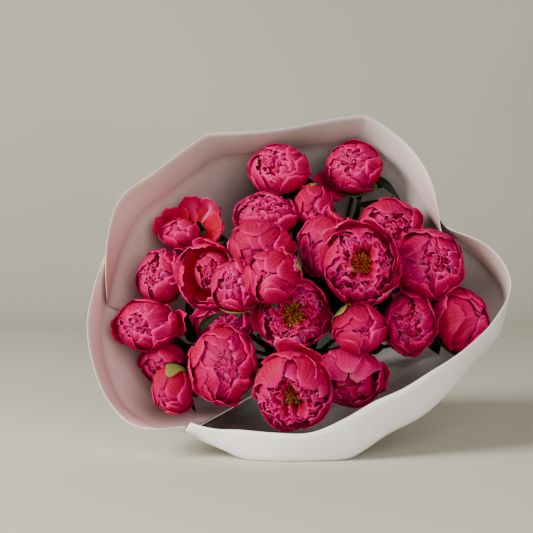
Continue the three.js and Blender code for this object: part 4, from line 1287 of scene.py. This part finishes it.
@dataclass
class Sheet:
    """One sheet of the wrap, from its tail behind the tie to its free edge round the mouth.

    The rim's rows are an angle, how far along the axis the free edge lies there, and its radius. The
    sheet's tail, its neck and its way to the widest place end at the shares of its length named so.
    """

    name: str
    layer: int
    # how strongly the painted shade lies on this sheet's inner face
    shade: float
    rim: list[Triple]
    corners: tuple[float, ...] = ()
    STAND_OFF: float = 1.1
    WALL: float = 0.45
    NECK_LAYER: float = 1.6
    LAYER: float = 2.8
    TAIL_STATION: float = -44.0
    TAIL_RADIUS: float = 37.0
    TAIL_END: float = 0.12
    NECK_END: float = 0.2
    WIDEST_END: float = 0.86
    REACH: float = 9.0
    PLEATS: int = 23
    ROWS: int = 56
    COLUMN: float = 1.25

    def pleat(self, angle: np.ndarray, station: np.ndarray, widest: np.ndarray) -> np.ndarray:
        """The gathers that run out of the tie, alike in all sheets."""
        ahead = np.clip((station - WAIST) / (widest - WAIST), 0, 1)
        depth = np.where(
            station < -WAIST,
            1.6 * smooth(-station, 9, 40),
            3.4 * smooth(ahead, 0.0, 0.22) * (1 - smooth(ahead, 0.3, 0.85)),
        )
        phase = np.radians(angle) * self.PLEATS + 1.3 * np.sin(np.radians(angle) * 3 + 0.5)
        ridge = 1 - np.abs(np.sin(phase / 2)) * 2
        return depth * 0.5 * ridge + 0.15 * np.sin(phase)

    def fold(self, angle: np.ndarray, station: np.ndarray, widest: np.ndarray) -> np.ndarray:
        """A few long soft creases, sharper towards the free edge."""
        ahead = np.clip((station - WAIST) / (widest - WAIST), 0, 1.3)
        total = np.zeros_like(angle)
        for corner in self.corners:
            off = np.abs(angle - corner)
            total += 2.2 * np.maximum(0, 1 - off / 7) * smooth(ahead, 0.35, 1.0)
        return total

    def painted_shade_and_pink(self, angle: np.ndarray, share: np.ndarray, lip: np.ndarray) -> tuple[np.ndarray, np.ndarray]:
        """Painted shade between the flowers and painted pink light from them, on the inner face.

        Args:
            angle: The side of the wrap, in degrees.
            share: How far along the sheet, from the tie to its widest place.
            lip: How far along the rim's band, from the widest place to the free edge.

        Returns:
            How much painted shade, and how much painted pink light, lies on each point.
        """
        # Painted shade: from midway along the sheet, a little weaker towards the rim and weaker on two sides.
        dark = self.shade * smooth(share, 0.15, 0.6) * (1 - 0.08 * smooth(lip, 0.12, 0.24))
        dark = dark * (1 - 0.12 * smooth(lip, 0.4, 1.0)) * (1 - 0.85 * np.exp(-(((angle + 8) / 13) ** 2)))
        dark = dark * (1 - 0.3 * smooth(angle, 74, 50) * smooth(angle, 30, 45))
        # Painted pink light from the flowers, strongest on the left, and a band of it along the rim.
        pink = 0.75 * smooth(angle, 95, 160) * smooth(share, 0.3, 0.75) * (1 - 0.35 * smooth(lip, 0.5, 1.0))
        top = smooth(angle, 40, 60) * (1 - smooth(angle, 125, 155))
        pink = pink + (0.3 - 0.24 * top) * smooth(lip, 0.05, 0.4) * (1 - pink)
        return np.clip(dark, 0, 1), np.clip(pink, 0, 1)

    def course(self, angle: np.ndarray, v: np.ndarray) -> tuple[np.ndarray, np.ndarray, np.ndarray]:
        """The sheet's points as it runs from its tail over the tie to its free edge.

        Args:
            angle: The side of the wrap, in degrees.
            v: How far along the sheet, from 0 at its tail to 1 at its free edge.

        Returns:
            The points, and for each how far it is on its way to the widest place and on the rim's band.
        """
        rim = np.array(self.rim, float)
        widest = on_table(GIRTH, 1, angle, ())
        girth = on_table(GIRTH, 2, angle, ()) + self.layer * self.LAYER
        rim_station = on_table(rim, 1, angle, self.corners)
        rim_radius = on_table(rim, 2, angle, self.corners)
        neck = NECK + self.layer * self.NECK_LAYER
        tail = self.TAIL_RADIUS + 2.5 * np.sin(np.radians(angle * 5)) + self.layer * self.LAYER
        station = np.where(
            v < self.TAIL_END,
            mix(self.TAIL_STATION, -WAIST, v / self.TAIL_END),
            mix(-WAIST, WAIST, (v - self.TAIL_END) / (self.NECK_END - self.TAIL_END)),
        )
        share = np.clip((v - self.NECK_END) / (self.WIDEST_END - self.NECK_END), 0, 1)
        lip = np.clip((v - self.WIDEST_END) / (1 - self.WIDEST_END), 0, 1)
        station = np.where(v > self.NECK_END, WAIST + share * (widest - WAIST), station)
        station = station + lip * (rim_station - widest)
        radius = np.where(v < self.TAIL_END, mix(tail, neck, smooth(v, 0, self.TAIL_END)), neck)
        out = neck + (girth - neck) * np.power(np.maximum(share, 1e-6), belly(angle))
        radius = np.where(v > self.NECK_END, out, radius)
        radius = radius + lip**1.7 * (rim_radius - girth)
        radius = radius + self.pleat(angle, station, widest) * (1 - lip)
        radius = radius + self.fold(angle, station, widest) * 0.4
        radius = radius + self.STAND_OFF
        turn = np.radians(angle)
        points = TIE + np.outer(station, AXIS)
        points = points + np.outer(radius * np.cos(turn), RIGHT) + np.outer(radius * np.sin(turn), ABOVE)
        return points, share, lip

    def rest(self, points: np.ndarray) -> np.ndarray:
        """Flattens the sheet where it would sink into the surface or the sheet outside it."""
        lowest = SURFACE_Z + (2 - self.layer) * self.LAYER
        above = np.clip((points[:, 2] - lowest) / self.REACH, 0, None)
        flat = lowest + self.REACH * above**2 * (2 - above)
        points[:, 2] = np.where(above < 1, flat, points[:, 2])
        return points

    def build(self, finish: bpy.types.Material, inside: bpy.types.Material) -> bpy.types.Object:
        """Builds the sheet.

        Args:
            finish: The paper's outer face.
            inside: Its inner face.

        Returns:
            The finished piece.
        """
        first, last = self.rim[0][0], self.rim[-1][0]
        columns = int((last - first) / self.COLUMN)
        u, v, faces = Bench.grid(columns, self.ROWS)
        angle = mix(first, last, (u + 1) / 2)
        points, share, lip = self.course(angle, v)
        # dark is the painted shade and pink the painted pink light on the inner face.
        dark, pink = self.painted_shade_and_pink(angle, share, lip)
        patch = Patch(self.rest(points), u, v, faces, pale=pink, tone=dark)
        piece = Bench.sew("sheet_" + self.name, [patch])
        piece.data.materials.append(finish)
        piece.data.materials.append(inside)
        Bench.thicken(piece, self.WALL, 1)
        return Bench.seat(piece, Slot.PAPER, "paper_" + self.name)


SHEETS = [
    Sheet(
        "back",
        0,
        0.95,
        [
            (25, 345, 198), (34, 350, 213), (43, 350, 231), (52, 350, 245), (61, 350, 254),
            (70, 350, 261), (80, 350, 243), (90, 350, 230), (99, 350, 227), (109, 350, 234),
            (118, 350, 248), (128, 350, 246), (139, 350, 249), (150, 350, 262), (161, 350, 255),
            (171, 348, 246), (180, 344, 240),
        ],
        (70, 118),
    ),
    Sheet(
        "left",
        1,
        0.12,
        [
            (161, 318, 252), (171, 348, 252), (180, 355, 257), (188, 355, 264), (199, 355, 267),
            (211, 355, 267), (220, 358, 257), (230, 355, 214),
        ],
        (),
    ),
    Sheet(
        "front",
        2,
        1.0,
        [
            (-130, 345, 206), (-122, 352, 196), (-113, 362, 184), (-100, 370, 177),
            (-87, 372, 175), (-72, 374, 166), (-58, 376, 163), (-46, 376, 172), (-33, 374, 186),
            (-20, 370, 212), (-8, 366, 241), (3, 360, 262), (14, 358, 247), (25, 348, 210),
            (34, 312, 217),
        ],
        (),
    ),
]


# Ties


@dataclass
class Turns:
    """Turns of twine or a band of ribbon round the bunch at the tie."""

    name: str
    node: str
    slot: Slot
    radius: float
    thickness: float
    width: float
    turns: int
    STRANDS: int = 60
    STRAND_DEPTH: float = 0.12

    def ring(self, station: float, flat: float, tilt: float) -> bpy.types.Object:
        """One turn.

        Args:
            station: Where its middle lies along the stems.
            flat: Its width as a multiple of its thickness.
            tilt: How far it slants, in radians.

        Returns:
            The turn as an object with its place in its mesh.
        """
        Bench.clear()
        bpy.ops.mesh.primitive_torus_add(
            major_segments=120,
            minor_segments=12,
            major_radius=(self.radius + self.thickness / 2) / 1000,
            minor_radius=self.thickness / 2000,
        )
        piece = bpy.context.object
        data = piece.data
        co = np.array([v.co for v in data.vertices]) * 1000
        turn = np.arctan2(co[:, 1], co[:, 0])
        co[:, 2] = co[:, 2] * flat + tilt * self.radius * np.cos(turn)
        if flat < 1.5:
            wave = np.sin(turn * self.STRANDS + 2 * np.sign(co[:, 2]))
            strand = self.STRAND_DEPTH * self.thickness * wave
            co[:, :2] *= 1 + (strand / self.radius)[:, None]
        points = TIE + np.outer(co[:, 2] + station, AXIS)
        points = points + np.outer(co[:, 0], RIGHT) + np.outer(co[:, 1], ABOVE)
        data.vertices.foreach_set("co", Bench.row(points).ravel())
        layer = data.attributes.new("pale", "FLOAT", "POINT")
        layer.data.foreach_set("value", np.zeros(len(co)))
        bpy.ops.object.mode_set(mode="EDIT")
        bpy.ops.mesh.select_all(action="SELECT")
        bpy.ops.mesh.normals_make_consistent(inside=False)
        bpy.ops.object.mode_set(mode="OBJECT")
        bpy.ops.object.shade_smooth()
        return piece

    def build(self, finish: bpy.types.Material) -> bpy.types.Object:
        """Builds all turns and joins them."""
        pitch = self.width / self.turns
        flat = 0.94 * pitch / self.thickness
        tilt = 0.012 if self.turns > 1 else 0.0
        rings = [
            self.ring((k - (self.turns - 1) / 2) * pitch, flat, tilt * (-1) ** k * (k % 3 == 1))
            for k in range(self.turns)
        ]
        piece = Bench.join(rings, self.name)
        piece.data.materials.append(finish)
        return Bench.seat(piece, self.slot, self.node)


# Studio


@dataclass(frozen=True)
class Lamp:
    """One soft round light, in metres of the row frame."""

    name: str
    at: Triple
    aim: Triple
    size: float
    watts: float
    tint: Triple

    def hang(self) -> None:
        """Creates the light in its place, turned to its aim."""
        data = bpy.data.lights.new(self.name, "AREA")
        data.shape = "DISK"
        data.size = self.size
        data.energy = self.watts
        data.color = self.tint
        lamp = bpy.data.objects.new(self.name, data)
        bpy.context.scene.collection.objects.link(lamp)
        lamp.location = self.at
        lamp.rotation_mode = "QUATERNION"
        lamp.rotation_quaternion = (Vector(self.aim) - Vector(self.at)).to_track_quat("-Z", "Y")


LAMPS = [
    Lamp("key", (-2.4, -1.4, 1.5), (0.0, -0.1, 0.2), 1.5, 198.0, (1.0, 0.985, 0.95)),
    Lamp("fill", (0.7, -2.6, 1.0), (0.0, -0.1, 0.2), 2.4, 62.0, (1.0, 0.98, 0.95)),
]


@dataclass(frozen=True)
class Studio:
    """A pale floor that runs up into a wall, and soft light from the left."""

    colour: Triple = (0.53, 0.51, 0.42)
    half: float = 4.0
    near: float = -3.0
    far: float = 1.6
    bend: float = 0.9
    height: float = 3.5
    room_tint: Triple = (1.0, 0.96, 0.9)
    room_strength: float = 0.22
    BEND_STEPS: int = 16
    DROP: float = 0.0002

    def sweep(self) -> bpy.types.Object:
        """Builds the floor and wall as one curved sheet."""
        profile = [(self.near, 0.0), (self.far, 0.0)]
        for k in range(1, self.BEND_STEPS + 1):
            a = math.pi / 2 * k / self.BEND_STEPS
            profile.append((self.far + self.bend * math.sin(a), self.bend * (1 - math.cos(a))))
        profile.append((self.far + self.bend, self.height))
        Bench.clear()
        bpy.ops.mesh.primitive_grid_add(x_subdivisions=1, y_subdivisions=len(profile) - 1, size=2)
        floor = bpy.context.object
        floor.name = "floor"
        for vertex in floor.data.vertices:
            k = round((vertex.co.y + 1) / 2 * (len(profile) - 1))
            y, z = profile[k]
            vertex.co = (vertex.co.x * self.half, y, z - self.DROP)
        bpy.ops.object.shade_smooth()
        n = Nodes("wall_paint", 0.9)
        clouds = n.noise(n.space("Object", (1.0, 1.0, 1.0)), 1.2, 2.0)
        dull = tuple(0.93 * c for c in self.colour)
        n.colour(n.blend(n.scaled(clouds, 0.3, 0.7, 0.0, 1.0), self.colour, dull))
        floor.data.materials.append(n.material)
        return floor

    def build(self) -> None:
        """Builds the sweep, the lights and the even light of the room."""
        self.sweep()
        for lamp in LAMPS:
            lamp.hang()
        world = bpy.data.worlds.new("room")
        bpy.context.scene.world = world
        world.use_nodes = True
        ambient = world.node_tree.nodes["Background"]
        ambient.inputs["Color"].default_value = (*self.room_tint, 1.0)
        ambient.inputs["Strength"].default_value = self.room_strength


def finishes() -> dict[str, bpy.types.Material]:
    """Every finish of the bunch by its name."""
    made = [
        PetalFinish("petal_outside", (0.40, 0.0, 0.010), (0.32, 0.0, 0.032), (0.69, 0.0, 0.135)),
        PetalFinish(
            "petal_inside", (0.43, 0.0, 0.010), (0.40, 0.0, 0.033), (0.69, 0.0, 0.135), roughness=0.5
        ),
        # The leaf skin is dark green, darkened nearly to black as painted shade where the leaves fill the
        # gaps between the flowers.
        LeafFinish("leaf_skin_and_painted_shade", (0.003, 0.005, 0.0025), (0.010, 0.017, 0.005), (0.03, 0.042, 0.012), 0.5),
        LeafFinish("stem_skin", (0.008, 0.016, 0.006), (0.022, 0.042, 0.014), (0.05, 0.07, 0.03), 0.5),
        LeafFinish("sepal_skin", (0.04, 0.05, 0.01), (0.07, 0.08, 0.016), (0.26, 0.22, 0.06), 0.5),
        FibreFinish("stamen_gold", (0.2, 0.02, 0.004), (0.52, 0.19, 0.02), (3, 3, 1), 0.0003, 0.6),
        # Each paper's second and third colours are painted shade and painted pink light from the flowers.
        PaperFinish("wrap_outside", (0.78, 0.77, 0.74), (0.80, 0.76, 0.74), (0.82, 0.77, 0.75)),
        PaperFinish("wrap_inside", (0.84, 0.81, 0.79), (0.16, 0.092, 0.085), (0.72, 0.36, 0.36)),
        FibreFinish("twine_fibre", (0.25, 0.16, 0.07), (0.52, 0.39, 0.22), (160, 6, 1), 0.0006, 0.9),
        FibreFinish("ribbon_weave", (0.62, 0.56, 0.47), (0.78, 0.73, 0.65), (30, 200, 1), 0.0002, 0.45),
    ]
    return {finish.name: finish.material() for finish in made}


def main() -> None:
    """Builds the bunch, its studio and its camera."""
    logging.basicConfig(level=logging.INFO, format="%(message)s")
    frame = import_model()
    Bench.settle()
    shot = Shot()
    shot.build()
    finish = finishes()
    heads = blooms()
    for bloom in heads:
        bloom.build_petals([finish["petal_outside"], finish["petal_inside"]])
        bloom.build_sepals(finish["sepal_skin"])
        if bloom.kind is Kind.OPEN:
            Stamens(bloom).build(finish["stamen_gold"])
        Stem(bloom.name).build(frame["nodes"]["stem_" + bloom.name], finish["stem_skin"])
    Foliage(LEAVES, shot, heads).build(finish["leaf_skin_and_painted_shade"])
    for sheet in SHEETS:
        sheet.build(finish["wrap_outside"], finish["wrap_inside"])
    twine = Turns("twine", "binding", Slot.TWINE, radius=22.3, thickness=1.7, width=12, turns=6)
    twine.build(finish["twine_fibre"])
    ribbon = Turns("ribbon_band", "ribbon", Slot.RIBBON, radius=30, thickness=2, width=13, turns=1)
    ribbon.build(finish["ribbon_weave"])
    Studio().build()


if __name__ == "__main__":
    main()
